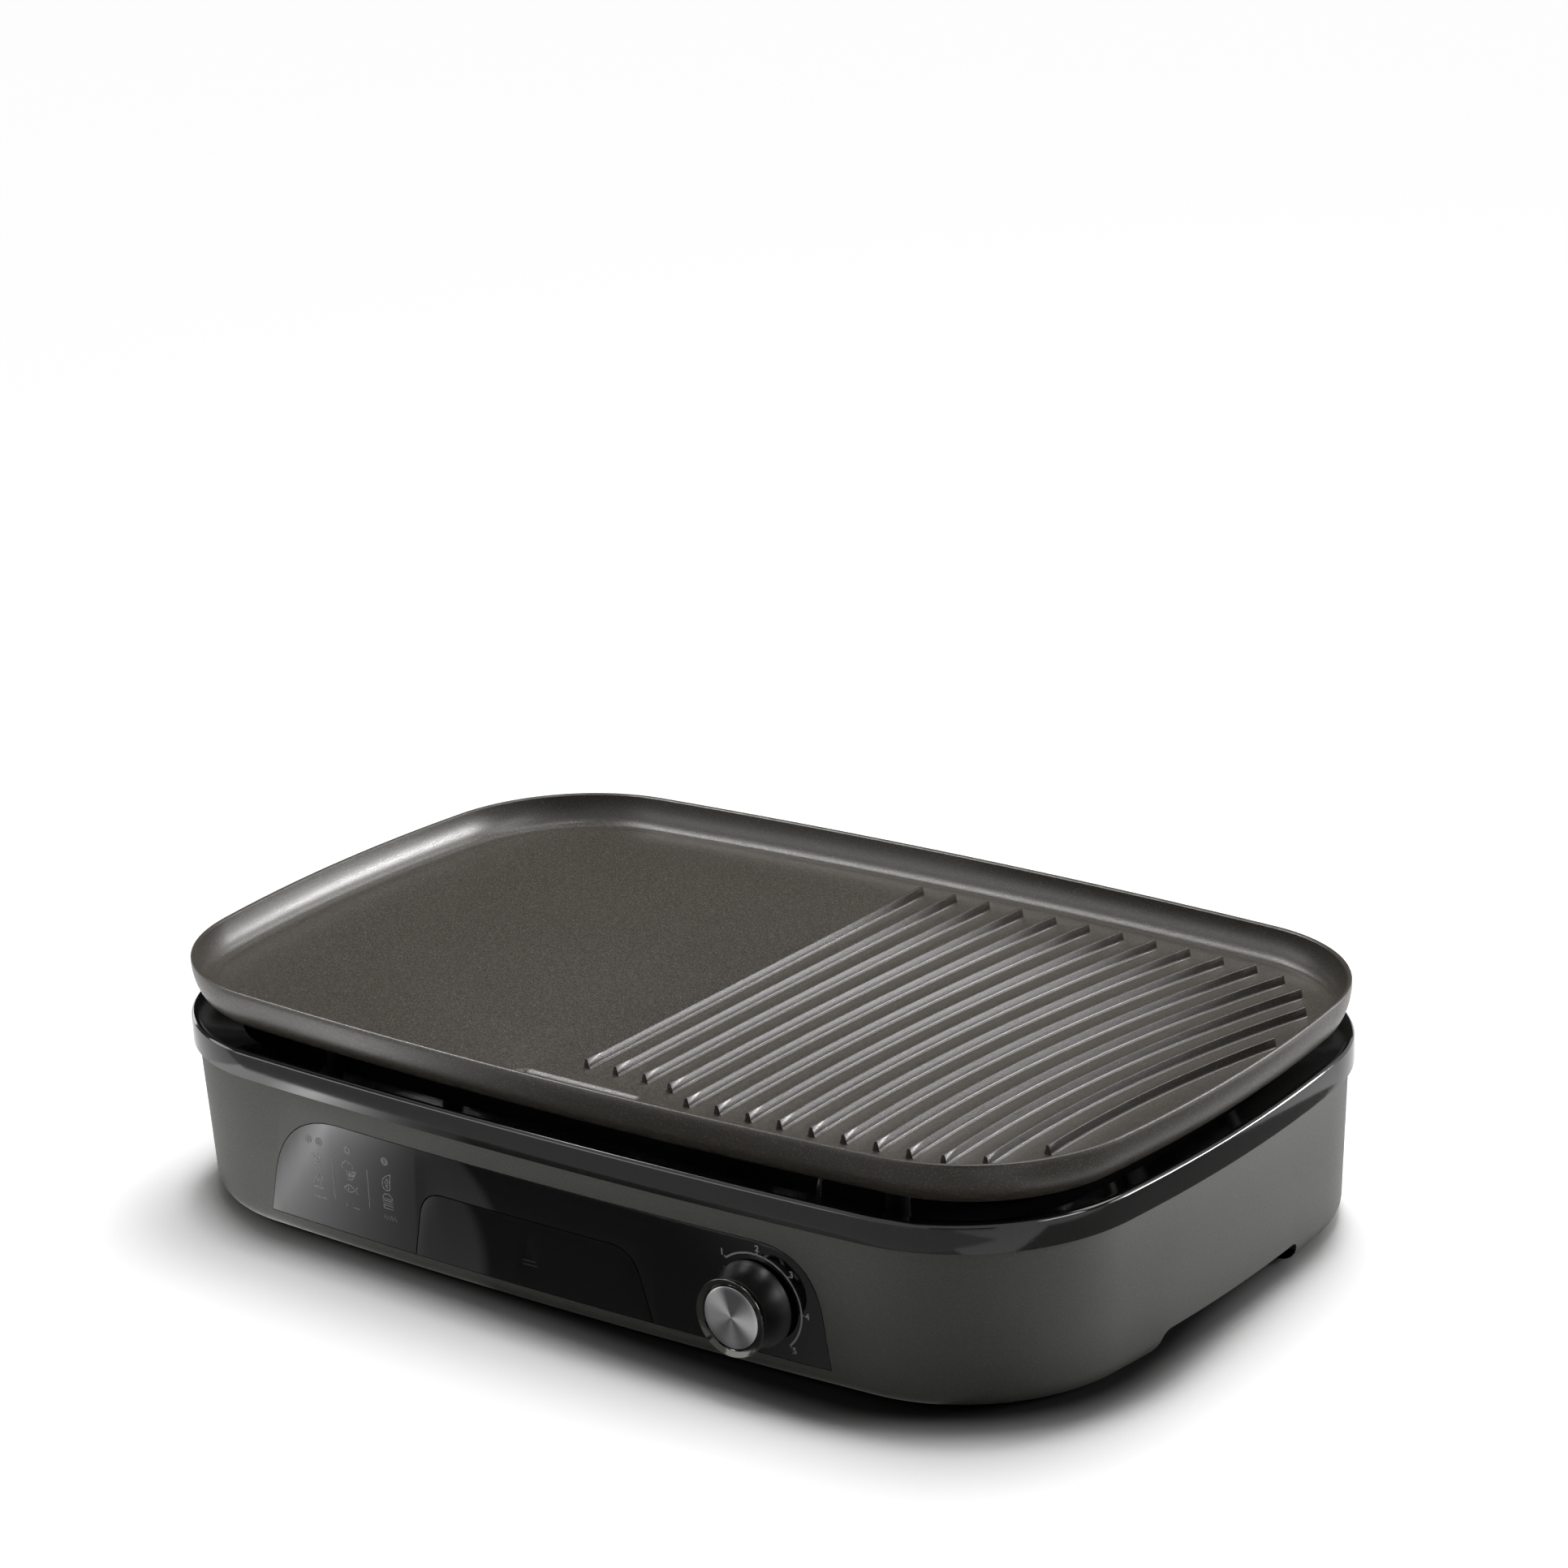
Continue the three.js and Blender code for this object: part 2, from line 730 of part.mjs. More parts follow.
function dripTray() {
  const top = trayBottom + trayHeight;
  const backY = trayFrontY + trayDepth;
  const row = (inset, z, corner) =>
    tubRing(trayHalfWidth - inset, trayFrontY + inset, backY - inset, corner, z);
  const lowCorner = trayInnerCorner;
  const flangeRing = (z) => tubRing(trayHalfWidth + trayFlange, trayFrontY, backY, trayFlange, z);
  return solid(skin([
    row(trayDraft, trayBottom, lowCorner),
    row(0, top - trayFlangeThickness, lowCorner),
    flangeRing(top - trayFlangeThickness),
    flangeRing(top),
    row(trayWall, top, lowCorner - trayWall),
    row(trayDraft + trayWall, trayBottom + trayWall, lowCorner - trayWall),
  ]));
}

function trayFront() {
  const face = solid(frontPrism(trayFrontShape(0, 0), prismFront, prismBack))
    .intersect(skinLayer(0, panelThickness));
  const middleZ = (trayFrontTop + panelBottom) / 2 + symbolGap;
  const faceY = frontSkinY(trayCentre, middleZ);
  const arrow = new THREE.Shape();
  arrow.moveTo(trayCentre - triangleHalfWidth, middleZ - triangleHeight / 2);
  arrow.lineTo(trayCentre + triangleHalfWidth, middleZ - triangleHeight / 2);
  arrow.lineTo(trayCentre, middleZ + triangleHeight / 2);
  arrow.closePath();
  const bar = uprightBox(
    2 * triangleHalfWidth, cutOverrun + symbolDepth, symbolBar,
    trayCentre, faceY + (symbolDepth - cutOverrun) / 2, middleZ - triangleHeight / 2 - symbolGap - symbolBar,
  );
  return face
    .subtract(solid(frontPrism(arrow, faceY - cutOverrun, faceY + symbolDepth)))
    .subtract(solid(bar));
}

// Rails: angle strips on the base plate, with a shelf under each tray flange
function trayRail(side) {
  const shelfTop = trayBottom + trayHeight - trayFlangeThickness - seatGap;
  const inner = trayHalfWidth + slideGap;
  const railHeight = shelfTop - basePlateTop - seatGap;
  const frontY = lipInset[1] + flangeWidth + wall - basePlan.halfDepth;
  const profile = new THREE.Shape();
  profile.moveTo(inner, shelfTop - railThickness);
  profile.lineTo(inner + railShelf - railThickness, shelfTop - railThickness);
  profile.lineTo(inner + railShelf - railThickness, shelfTop - railHeight);
  profile.lineTo(inner + 4 * railShelf, shelfTop - railHeight);
  profile.lineTo(inner + 4 * railShelf, shelfTop - railHeight + railThickness);
  profile.lineTo(inner + railShelf, shelfTop - railHeight + railThickness);
  profile.lineTo(inner + railShelf, shelfTop);
  profile.lineTo(inner, shelfTop);
  profile.closePath();
  const strip = frontPrism(profile, frontY, frontY + railLength);
  const placed = side > 0 ? solid(strip) : solid(strip).mirror([1, 0, 0]);
  return placed.translate([trayCentre, 0, 0]);
}

// Trim ring and well liner
const ringBottom = bodyTop + seatGap;
const ringTop = bodyTop + ringHeight;
const linerFlangeTop = ledgeTop + seatGap + linerSheet;

function trimRing() {
  return solid(loft(basePlan, even([
    [0, ringBottom],
    [0, ringTop - ringChamfer],
    [ringChamfer, ringTop],
    [ringLand, ringTop],
    [ringSlopeInset, ringTop - ringSlopeDrop],
    [ringSlopeInset, linerFlangeTop + seatGap],
    [ringSlopeInset - ringWall, linerFlangeTop + seatGap],
    [ringSlopeInset - ringWall, ringTop - ringSlopeDrop - ringWall / 2],
    [ringFoot, ringTop - ringWall - ringChamfer],
    [ringFoot, ringBottom],
  ]), true));
}

const linerFloorTop = linerFloor + linerSheet;
const holePlaces = [-1, 1].map((side) => [elementLeadX, elementCentreY + side * elementLeadHalf]);
const supportPlaces = [
  [-supportX, -supportY], [supportX, -supportY], [-supportX, supportY], [supportX, supportY],
];

function wellLiner() {
  const wallSlope = Math.atan2(ledgeTop + seatGap - linerFloor, linerFloorInset - linerRimInset);
  const bend = linerSheet * Math.tan(wallSlope / 2);
  let liner = solid(loft(basePlan, even([
    [linerFloorInset, linerFloor],
    [linerRimInset, ledgeTop + seatGap],
    [linerFlangeInset, ledgeTop + seatGap],
    [linerFlangeInset, linerFlangeTop],
    [linerRimInset + bend, linerFlangeTop],
    [linerFloorInset + bend, linerFloorTop],
  ])));
  const spout = upPrism(
    stadium(slotCentreX, dripCentreY, dripLength + 2 * spoutWall, dripWidth + 2 * spoutWall),
    linerFloor - spoutDrop, spoutDrop + linerSheet / 2, slotSteps,
  );
  const drip = upPrism(
    stadium(slotCentreX, dripCentreY, dripLength, dripWidth),
    linerFloor - spoutDrop - cutOverrun, spoutDrop + linerSheet + 2 * cutOverrun, slotSteps,
  );
  liner = liner.add(solid(spout)).subtract(solid(drip));
  for (const [x, y] of holePlaces) {
    liner = liner.subtract(solid(uprightCylinder(
      leadHole, leadHole, linerSheet + 2 * cutOverrun, x, y, linerFloor - cutOverrun, glandSteps,
    )));
  }
  return liner.subtract(solid(uprightCylinder(
    capillaryRadius + seatGap, capillaryRadius + seatGap, linerSheet + 2 * cutOverrun,
    dialX, capillaryRunY, linerFloor - cutOverrun, screwSteps,
  )));
}

function reflector() {
  const bottom = linerFloorTop + seatGap;
  let pan = solid(loft(reflectorPlan, even([
    [reflectorEdgeInset, bottom],
    [0, bottom + reflectorRise],
    [reflectorSheet, bottom + reflectorRise],
    [reflectorEdgeInset + reflectorSheet, bottom + reflectorSheet],
  ])).translate(0, elementCentreY, 0));
  for (const [x, y] of holePlaces) {
    pan = pan.subtract(solid(uprightCylinder(
      reflectorHoleRadius, reflectorHoleRadius, reflectorSheet + 2 * cutOverrun,
      x, y, bottom - cutOverrun, glandSteps,
    )));
  }
  return pan;
}
const reflectorTop = linerFloorTop + seatGap + reflectorSheet;

// Heating element
function heatingElement() {
  const z = elementHeight;
  const y = (offset) => elementCentreY + offset;
  const at = (px, py, pz = z) => new THREE.Vector3(px, py, pz);
  const corners = [
    at(elementLeadX, y(-elementLeadHalf), elementLeadBottom),
    at(elementLeadX, y(-elementLeadHalf)),
    at(elementHalfLength, y(-elementLeadHalf)),
    at(elementHalfLength, y(-elementOuter)),
    at(-elementHalfLength, y(-elementOuter)),
    at(-elementHalfLength, y(-elementInner)),
    at(elementReturn, y(-elementInner)),
    at(elementReturn, y(elementInner)),
    at(-elementHalfLength, y(elementInner)),
    at(-elementHalfLength, y(elementOuter)),
    at(elementHalfLength, y(elementOuter)),
    at(elementHalfLength, y(elementLeadHalf)),
    at(elementLeadX, y(elementLeadHalf)),
    at(elementLeadX, y(elementLeadHalf), elementLeadBottom),
  ];
  const radii = corners.slice(2).map((corner, i, list) =>
    (i < 2 || i > list.length - 3 ? elementLeadBend : elementBend));
  return tube(bentRoute(corners, radii), elementRadius, elementSides);
}

function bushing([x, y]) {
  const bore = elementRadius + seatGap;
  const head = linerFloor - seatGap;
  const geometry = revolved([
    [bore, -bushingHead], [bushingHeadRadius, -bushingHead], [bushingHeadRadius, 0],
    [bushingRadius, 0], [bushingRadius, bushingLength - bushingHead], [bore, bushingLength - bushingHead],
    [bore, -bushingHead],
  ], glandSteps).rotateX(Math.PI / 2);
  return solid(geometry.translate(x, y, head));
}

// A sheet post whose notch carries a round tube that lies along X
function tubeClip(x, y, width, tubeRadius, tubeHeight) {
  const bottom = reflectorTop + seatGap;
  const post = uprightBox(clipThickness, width, tubeHeight - bottom, x, y, bottom);
  const groove = new THREE.CylinderGeometry(
    tubeRadius + seatGap, tubeRadius + seatGap, clipThickness + 2 * cutOverrun, screwSteps,
  ).rotateZ(Math.PI / 2).translate(x, y, tubeHeight);
  const foot = uprightBox(3 * clipThickness, width, clipThickness / 2, x + clipThickness, y, bottom);
  return solid(post).add(solid(foot)).subtract(solid(groove));
}

function plateSupport([x, y]) {
  const bottom = linerFloorTop + seatGap;
  const top = plateUnderside - seatGap;
  const geometry = revolved([
    [0, bottom], [supportRadius, bottom], [supportRadius, top - supportTip],
    [supportTipRadius, top], [0, top],
  ], supportSteps).rotateX(Math.PI / 2);
  return solid(geometry.translate(x, y, 0));
}

// Thermostat group behind the dial
const bracketFrontY = frontSkinY(dialX + bracketWidth / 2, dialZ - bracketHeight / 2)
  + panelThickness + panelBacking + 2 * seatGap;
const thermostatFrontY = bracketFrontY + bracketSheet + seatGap;

function thermostatBracket() {
  const plate = uprightBox(
    bracketWidth, bracketSheet, bracketHeight,
    dialX, bracketFrontY + bracketSheet / 2, dialZ - bracketHeight / 2,
  );
  const hole = new THREE.CylinderGeometry(
    shaftHoleRadius, shaftHoleRadius, bracketSheet + 2 * cutOverrun, knobSteps,
  ).translate(dialX, bracketFrontY, dialZ);
  return solid(plate).subtract(solid(hole));
}

function thermostatBody() {
  const half = thermostatWidth / 2 - thermostatEdge;
  const tall = thermostatHeight / 2 - thermostatEdge;
  const shape = new THREE.Shape();
  shape.moveTo(dialX - half, dialZ - tall - thermostatEdge);
  shape.lineTo(dialX + half, dialZ - tall - thermostatEdge);
  shape.lineTo(dialX + half + thermostatEdge, dialZ - tall);
  shape.lineTo(dialX + half + thermostatEdge, dialZ + tall);
  shape.lineTo(dialX + half, dialZ + tall + thermostatEdge);
  shape.lineTo(dialX - half, dialZ + tall + thermostatEdge);
  shape.lineTo(dialX - half - thermostatEdge, dialZ + tall);
  shape.lineTo(dialX - half - thermostatEdge, dialZ - tall);
  shape.closePath();
  const block = solid(frontPrism(shape, thermostatFrontY, thermostatFrontY + thermostatDepth));
  const bore = new THREE.CylinderGeometry(
    shaftRadius + seatGap, shaftRadius + seatGap, 2 * (shaftInBody + seatGap), knobSteps,
  ).translate(dialX, thermostatFrontY, dialZ);
  return block.subtract(solid(bore));
}

const sensorZ = plateUnderside - seatGap - sensorRadius;

function sensorBulb() {
  const round = sensorRadius / 2;
  const geometry = revolved([
    [0, -sensorLength / 2], [round, -sensorLength / 2], [sensorRadius, round - sensorLength / 2],
    [sensorRadius, sensorLength / 2 - round], [round, sensorLength / 2], [0, sensorLength / 2],
  ], screwSteps).rotateZ(Math.PI / 2);
  return solid(geometry.translate(sensorX, sensorY, sensorZ));
}

function capillaryTube() {
  const backY = thermostatFrontY + thermostatDepth + seatGap;
  const startZ = dialZ + thermostatHeight / 4;
  const bulbEnd = sensorX + sensorLength / 2 + seatGap;
  const at = (x, y, z) => new THREE.Vector3(x, y, z);
  const corners = [
    at(dialX, backY, startZ),
    at(dialX, capillaryRunY, startZ),
    at(dialX, capillaryRunY, capillaryRise),
    at(dialX, sensorY, capillaryRise),
    at(bulbEnd + 2 * capillaryBend, sensorY, capillaryRise),
    at(bulbEnd + capillaryBend, sensorY, sensorZ),
    at(bulbEnd, sensorY, sensorZ),
  ];
  const radii = [capillaryBend / 2, capillaryBend, capillaryBend, capillaryBend / 2, capillaryBend / 2];
  return tube(bentRoute(corners, radii), capillaryRadius, wireSides);
}

// Knob, turned on the shaft axis, which lies along Y
const knobBackY = frontSkinY(dialX, dialZ + knobBaseRadius) - knobStandOff;
const knobFrontY = knobBackY - knobLength;
const onDialAxis = (geometry) => geometry.translate(dialX, 0, dialZ);

function knobBody() {
  const rimBack = knobFrontY + knobRimLength + seatGap;
  const socket = shaftRadius + seatGap;
  const body = solid(onDialAxis(revolved([
    [0, rimBack], [knobNeckRadius, rimBack], [knobNeckRadius, rimBack + knobRimLength],
    [knobBaseRadius, knobBackY], [knobBaseRadius - knobSocketWall, knobBackY],
    [knobNeckRadius - knobSocketWall, rimBack + 2 * knobRimLength],
    [socket + knobSocketWall, rimBack + 2 * knobRimLength], [socket + knobSocketWall, knobBackY],
    [0, knobBackY],
  ], knobSteps)));
  const bore = new THREE.CylinderGeometry(socket, socket, 2 * socketDepth, knobSteps)
    .translate(dialX, knobBackY, dialZ);
  return body.subtract(solid(bore));
}

function knobRim() {
  const rim = solid(onDialAxis(revolved([
    [knobRimBore, knobFrontY + knobRimLength], [knobRimBore, knobFrontY + knobCapRecess],
    [knobRimRadius - knobCapRecess, knobFrontY], [knobRimRadius, knobFrontY + knobCapRecess],
    [knobNeckRadius, knobFrontY + knobRimLength], [knobRimBore, knobFrontY + knobRimLength],
  ], knobSteps)));
  const notch = new THREE.BoxGeometry(notchWidth, 2 * knobCapRecess, 2 * (knobRimRadius - knobRimBore))
    .translate(0, knobFrontY, knobRimRadius).rotateY(notchAngle);
  return rim.subtract(solid(onDialAxis(notch)));
}

function knobCap() {
  const face = knobFrontY + knobCapRecess;
  return solid(onDialAxis(revolved([
    [0, face - knobCapCrown], [knobCapRadius / 2, face - knobCapCrown], [knobCapRadius, face],
    [knobCapRadius, face + knobCapThickness], [0, face + knobCapThickness],
  ], knobSteps)));
}

function thermostatShaft() {
  const front = knobBackY - socketDepth + seatGap;
  const back = thermostatFrontY + shaftInBody;
  const rod = new THREE.CylinderGeometry(shaftRadius, shaftRadius, back - front, glandSteps)
    .translate(dialX, (front + back) / 2, dialZ);
  const flat = uprightBox(
    2 * shaftRadius, knobBackY - front, shaftRadius,
    dialX, (front + knobBackY) / 2, dialZ + shaftRadius - shaftFlat,
  );
  return solid(rod).subtract(solid(flat));
}

// Grill plate: a cast dish with a flared wall, curved ribs and a drain slot
const dishFloor = plateTop - dishDepth;
const quarterWall = (steps, reach) =>
  Array.from({ length: steps }, (unused, i) => ((i + 1) / steps) * reach);

function ribCentre(index, y) {
  const pitch = ribPitch + (y - ribFanStart) ** 2 / ribFanLength;
  return firstRibX + index * pitch;
}

// How far a point of the plate lies inside the rim
function insideRim(x, y) {
  const { bow, end, centre } = cornerCentre(platePlan);
  const point = new THREE.Vector2(Math.abs(x), Math.abs(y));
  const fromCorner = point.clone().sub(centre);
  const angle = fromCorner.angle();
  const inCorner = angle > centre.clone().sub(end).angle() && angle < centre.clone().sub(bow).angle();
  if (inCorner) return platePlan.corner - fromCorner.length();
  return Math.min(platePlan.frontBow - point.distanceTo(bow), platePlan.endBow - point.distanceTo(end));
}

function ribEnd(index, direction, margin) {
  let inside = 0;
  let outside = direction * platePlan.halfDepth;
  for (let i = 0; i < 30; i += 1) {
    const middle = (inside + outside) / 2;
    if (insideRim(ribCentre(index, middle), middle) > margin) inside = middle;
    else outside = middle;
  }
  return inside;
}

function rib(index) {
  const back = ribEnd(index, 1, ribMarginBack);
  let front = ribEnd(index, -1, ribMarginFront);
  const beside = ribCentre(index, front) - (slotCentreX + slotLength / 2);
  const clear = ribSlotClear * THREE.MathUtils.clamp(1 - beside / ribSlotReach, 0, 1);
  if (beside < ribPitch) front = Math.max(front, slotCentreY + Math.max(clear, ribSlotClear / 2) + wall);
  const profile = [
    [-ribFilletHalf, -ribRoot], [ribFilletHalf, -ribRoot], [ribFilletHalf, ribFilletLip],
    [ribFootHalf, ribFilletHeight], [ribCrestHalf, ribHeight], [-ribCrestHalf, ribHeight],
    [-ribFootHalf, ribFilletHeight], [-ribFilletHalf, ribFilletLip],
  ];
  const rings = [];
  for (let i = 0; i <= ribSteps; i += 1) {
    const y = front + ((back - front) * i) / ribSteps;
    const step = (back - front) / (2 * ribSteps);
    const lean = Math.atan2(ribCentre(index, y + step) - ribCentre(index, y - step), 2 * step);
    rings.push(profile.map(([u, z]) => new THREE.Vector3(
      ribCentre(index, y) + u * Math.cos(lean), y - u * Math.sin(lean), dishFloor + z,
    )));
  }
  return solid(skin(rings.reverse()));
}

function grillPlate() {
  const right = Math.PI / 2;
  const wallTop = plateTop - lipRound;
  const outer = quarterWall(plateWallSteps, right).map((angle) =>
    [plateFlare * (1 - Math.cos(angle)), wallTop - (wallTop - plateUnderside) * Math.sin(angle)]);
  const creaseAngle = (right * (plateWallSteps - 1)) / plateWallSteps;
  const inner = quarterWall(plateWallSteps, creaseAngle).map((angle) =>
    [lipThickness + dishFlare * (1 - Math.cos(angle)), plateTop - dishDepth * Math.sin(angle)]);
  const crease = lipThickness + dishFlare + dishCrease;
  let plate = solid(loft(platePlan, even([
    ...outer.reverse(),
    [0, wallTop],
    [lipRound / 2, plateTop],
    [lipThickness, plateTop],
    ...inner,
    [crease, dishFloor],
  ])));
  for (let i = 0; i < ribCount; i += 1) plate = plate.add(rib(i));
  const low = stadium(slotCentreX, slotCentreY, slotLength, slotWidth).getPoints(slotSteps);
  const high = stadium(slotCentreX, slotCentreY, slotLength + 2 * slotBevel, slotWidth + 2 * slotBevel)
    .getPoints(slotSteps);
  const ringAt = (points, z) => points.slice(0, -1).map((p) => new THREE.Vector3(p.x, p.y, z));
  const slot = skin([
    ringAt(low, plateUnderside - cutOverrun), ringAt(low, dishFloor - slotBevel),
    ringAt(high, dishFloor), ringAt(high, dishFloor + ribFilletHeight),
  ]);
  return plate.subtract(solid(slot));
}

// Base plate with its vents, pads and screws
function basePlate() {
  const inset = [lipInset[0] + seatGap, lipInset[1] + seatGap];
  let plate = solid(loft(basePlan, [
    [inset[0], inset[1], basePlateBottom], [inset[0], inset[1], basePlateTop],
  ]));
  for (const side of [-1, 1]) {
    for (let i = 0; i < ventRows; i += 1) {
      const y = (i - (ventRows - 1) / 2) * ventPitch;
      plate = plate.subtract(solid(upPrism(
        stadium(side * ventCentreX, y, ventLength, ventWidth), basePlateBottom - cutOverrun,
        basePlateThickness + 2 * cutOverrun, ventSteps,
      )));
    }
  }
  for (const [x, y] of screwPlaces) {
    plate = plate.subtract(solid(uprightCylinder(
      screwHole, screwHole, basePlateThickness + 2 * cutOverrun,
      x, y, basePlateBottom - cutOverrun, screwSteps,
    )));
  }
  return plate;
}

function footPad(x, y) {
  return solid(uprightCylinder(
    padRadius - padHeight / 2, padRadius, basePlateBottom - seatGap, x, y, 0, padSteps,
  ));
}

function baseScrew([x, y]) {
  const head = basePlateBottom - seatGap;
  const geometry = revolved([
    [0, -screwHeadHeight], [screwHeadRadius, -screwHeadHeight], [screwHeadRadius, 0],
    [screwRadius, 0], [screwRadius, screwLength], [0, screwLength],
  ], screwSteps).rotateX(Math.PI / 2);
  return solid(geometry.translate(x, y, head));
}

// Mains entry: a gland through the rear wall, its nut, the terminal block and the wires
const rearSkinY = (x, z) => -frontSkinY(x, z);
const glandFaceY = rearSkinY(glandX, glandZ) + glandStandOff;

function cordGland() {
  const geometry = revolved([
    [glandBore, -glandReach], [glandBarrel, -glandReach], [glandBarrel, 0], [glandFlange, 0],
    [glandFlange, glandFlangeThickness - 1 / glandFlangeThickness], [glandBarrel, glandFlangeThickness],
    [glandBore, glandFlangeThickness], [glandBore, -glandReach],
  ], glandSteps);
  return solid(geometry.translate(glandX, glandFaceY, glandZ));
}

function glandNut() {
  const y = glandFaceY - wall - 2 * glandStandOff - glandNutThickness / 2;
  const rod = (radius, length, steps) =>
    solid(new THREE.CylinderGeometry(radius, radius, length, steps).translate(glandX, y, glandZ));
  return rod(glandFlange, glandNutThickness, 6)
    .subtract(rod(glandBarrel + seatGap, glandNutThickness + cutOverrun, glandSteps));
}

function terminalBlock() {
  let block = solid(uprightBox(
    terminalWidth, terminalDepth, terminalHeight, glandX, terminalY, basePlateTop + seatGap,
  ));
  const wellBottom = basePlateTop + seatGap + terminalHeight - terminalWell;
  for (const index of [-1, 0, 1]) {
    block = block.subtract(solid(uprightCylinder(
      terminalWellRadius, terminalWellRadius, 2 * terminalWell,
      glandX + index * terminalPitch, terminalY, wellBottom, screwSteps,
    )));
  }
  return block;
}

function wire(points) {
  const curve = new THREE.CatmullRomCurve3(points, false, 'centripetal');
  return tube(curve.getSpacedPoints(wireSteps), wireRadius, wireSides);
}

function wires() {
  const at = (x, y, z) => new THREE.Vector3(x, y, z);
  const blockFront = terminalY - terminalDepth / 2 - seatGap;
  const blockZ = basePlateTop + terminalHeight / 2;
  const thermostatBack = thermostatFrontY + thermostatDepth + seatGap;
  const leadEnd = elementLeadBottom - seatGap;
  const [frontLead, backLead] = holePlaces;
  const side = thermostatWidth / 4;
  const live = [
    at(glandX, blockFront, blockZ), at(glandX, blockFront - terminalDepth, blockZ),
    at(glandX - terminalPitch, 0, blockZ), at(dialX + side, thermostatBack + terminalDepth, dialZ - side),
    at(dialX + side, thermostatBack, dialZ - side),
  ];
  const switched = [
    at(dialX + side, thermostatBack, dialZ + side),
    at(dialX + side, thermostatBack + terminalDepth, dialZ + side),
    at(frontLead[0], frontLead[1] - terminalDepth, leadEnd - terminalDepth),
    at(frontLead[0], frontLead[1], leadEnd - terminalDepth / 2), at(frontLead[0], frontLead[1], leadEnd),
  ];
  const neutral = [
    at(glandX + terminalPitch, blockFront, blockZ),
    at(glandX + terminalPitch, blockFront - terminalDepth, blockZ),
    at(backLead[0], backLead[1] + terminalDepth, leadEnd - terminalDepth),
    at(backLead[0], backLead[1], leadEnd - terminalDepth / 2), at(backLead[0], backLead[1], leadEnd),
  ];
  return {
    wire_live: [live, wireBrown],
    wire_switched: [switched, wireRed],
    wire_neutral: [neutral, wireBlue],
  };
}

// Assembly, moved so that its whole depth, the knob included, is centred on the origin
const grill = new THREE.Group();
const centring = -(knobFrontY + basePlan.halfDepth) / 2;

function place(name, shape, material) {
  const geometry = shape instanceof THREE.BufferGeometry ? shape : geometryOf(shape);
  geometry.translate(0, centring, 0);
  const mesh = new THREE.Mesh(geometry, material);
  mesh.name = name;
  grill.add(mesh);
}

place('body_shell', bodyShell(), bodyPlastic);
place('trim_ring', trimRing(), smokeTrim);
place('well_liner', wellLiner(), linerBlack);
place('front_panel', frontPanel(), glossBlack);
place('base_plate', basePlate(), coverBlack);
place('reflector_pan', reflector(), brightSteel);
place('heating_element', heatingElement(), elementSteel);
holePlaces.forEach((spot, i) => place(`element_bushing_${i + 1}`, bushing(spot), ceramicWhite));
[[-1, -1], [1, -1], [-1, 1], [1, 1]].forEach(([sx, sy], i) => {
  const y = elementCentreY + sy * elementOuter;
  const clip = tubeClip(sx * clipX, y, clipWidth, elementRadius, elementHeight);
  place(`element_clip_${i + 1}`, clip, linerBlack);
});
supportPlaces.forEach((spot, i) => place(`plate_support_${i + 1}`, plateSupport(spot), linerBlack));
place('sensor_bulb', sensorBulb(), spunSteel);
place('sensor_clip', tubeClip(sensorX, sensorY, sensorClipWidth, sensorRadius, sensorZ), zincSteel);
place('capillary_tube', capillaryTube(), spunSteel);
place('thermostat_body', thermostatBody(), switchGrey);
place('thermostat_bracket', thermostatBracket(), zincSteel);
place('terminal_block', terminalBlock(), ceramicWhite);
place('cord_gland', cordGland(), rubberBlack);
place('gland_nut', glandNut(), coverBlack);
for (const [name, [points, material]] of Object.entries(wires())) place(name, wire(points), material);
place('tray_rail_left', trayRail(-1), zincSteel);
place('tray_rail_right', trayRail(1), zincSteel);
[[-1, -1], [1, -1], [-1, 1], [1, 1]].forEach(([sx, sy], i) =>
  place(`foot_pad_${i + 1}`, footPad(sx * padX, sy * padY), rubberBlack));
screwPlaces.forEach((spot, i) => place(`base_screw_${i + 1}`, baseScrew(spot), zincSteel));

place('grill_plate', grillPlate(), coatedCast);
place('drip_tray', dripTray(), trayBlack);
place('tray_front', trayFront(), glossBlack);
place('knob_body', knobBody(), knobBlack);
place('knob_rim', knobRim(), darkChrome);
place('knob_cap', knobCap(), spunSteel);
place('thermostat_shaft', thermostatShaft(), zincSteel);

export default grill;
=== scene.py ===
"""Electric table grill: the visible pieces, their finishes and a plain studio."""

import json
import math

import bmesh
import bpy
from bpy.props import FloatProperty, FloatVectorProperty, IntProperty, PointerProperty
from mathutils import Matrix, Vector


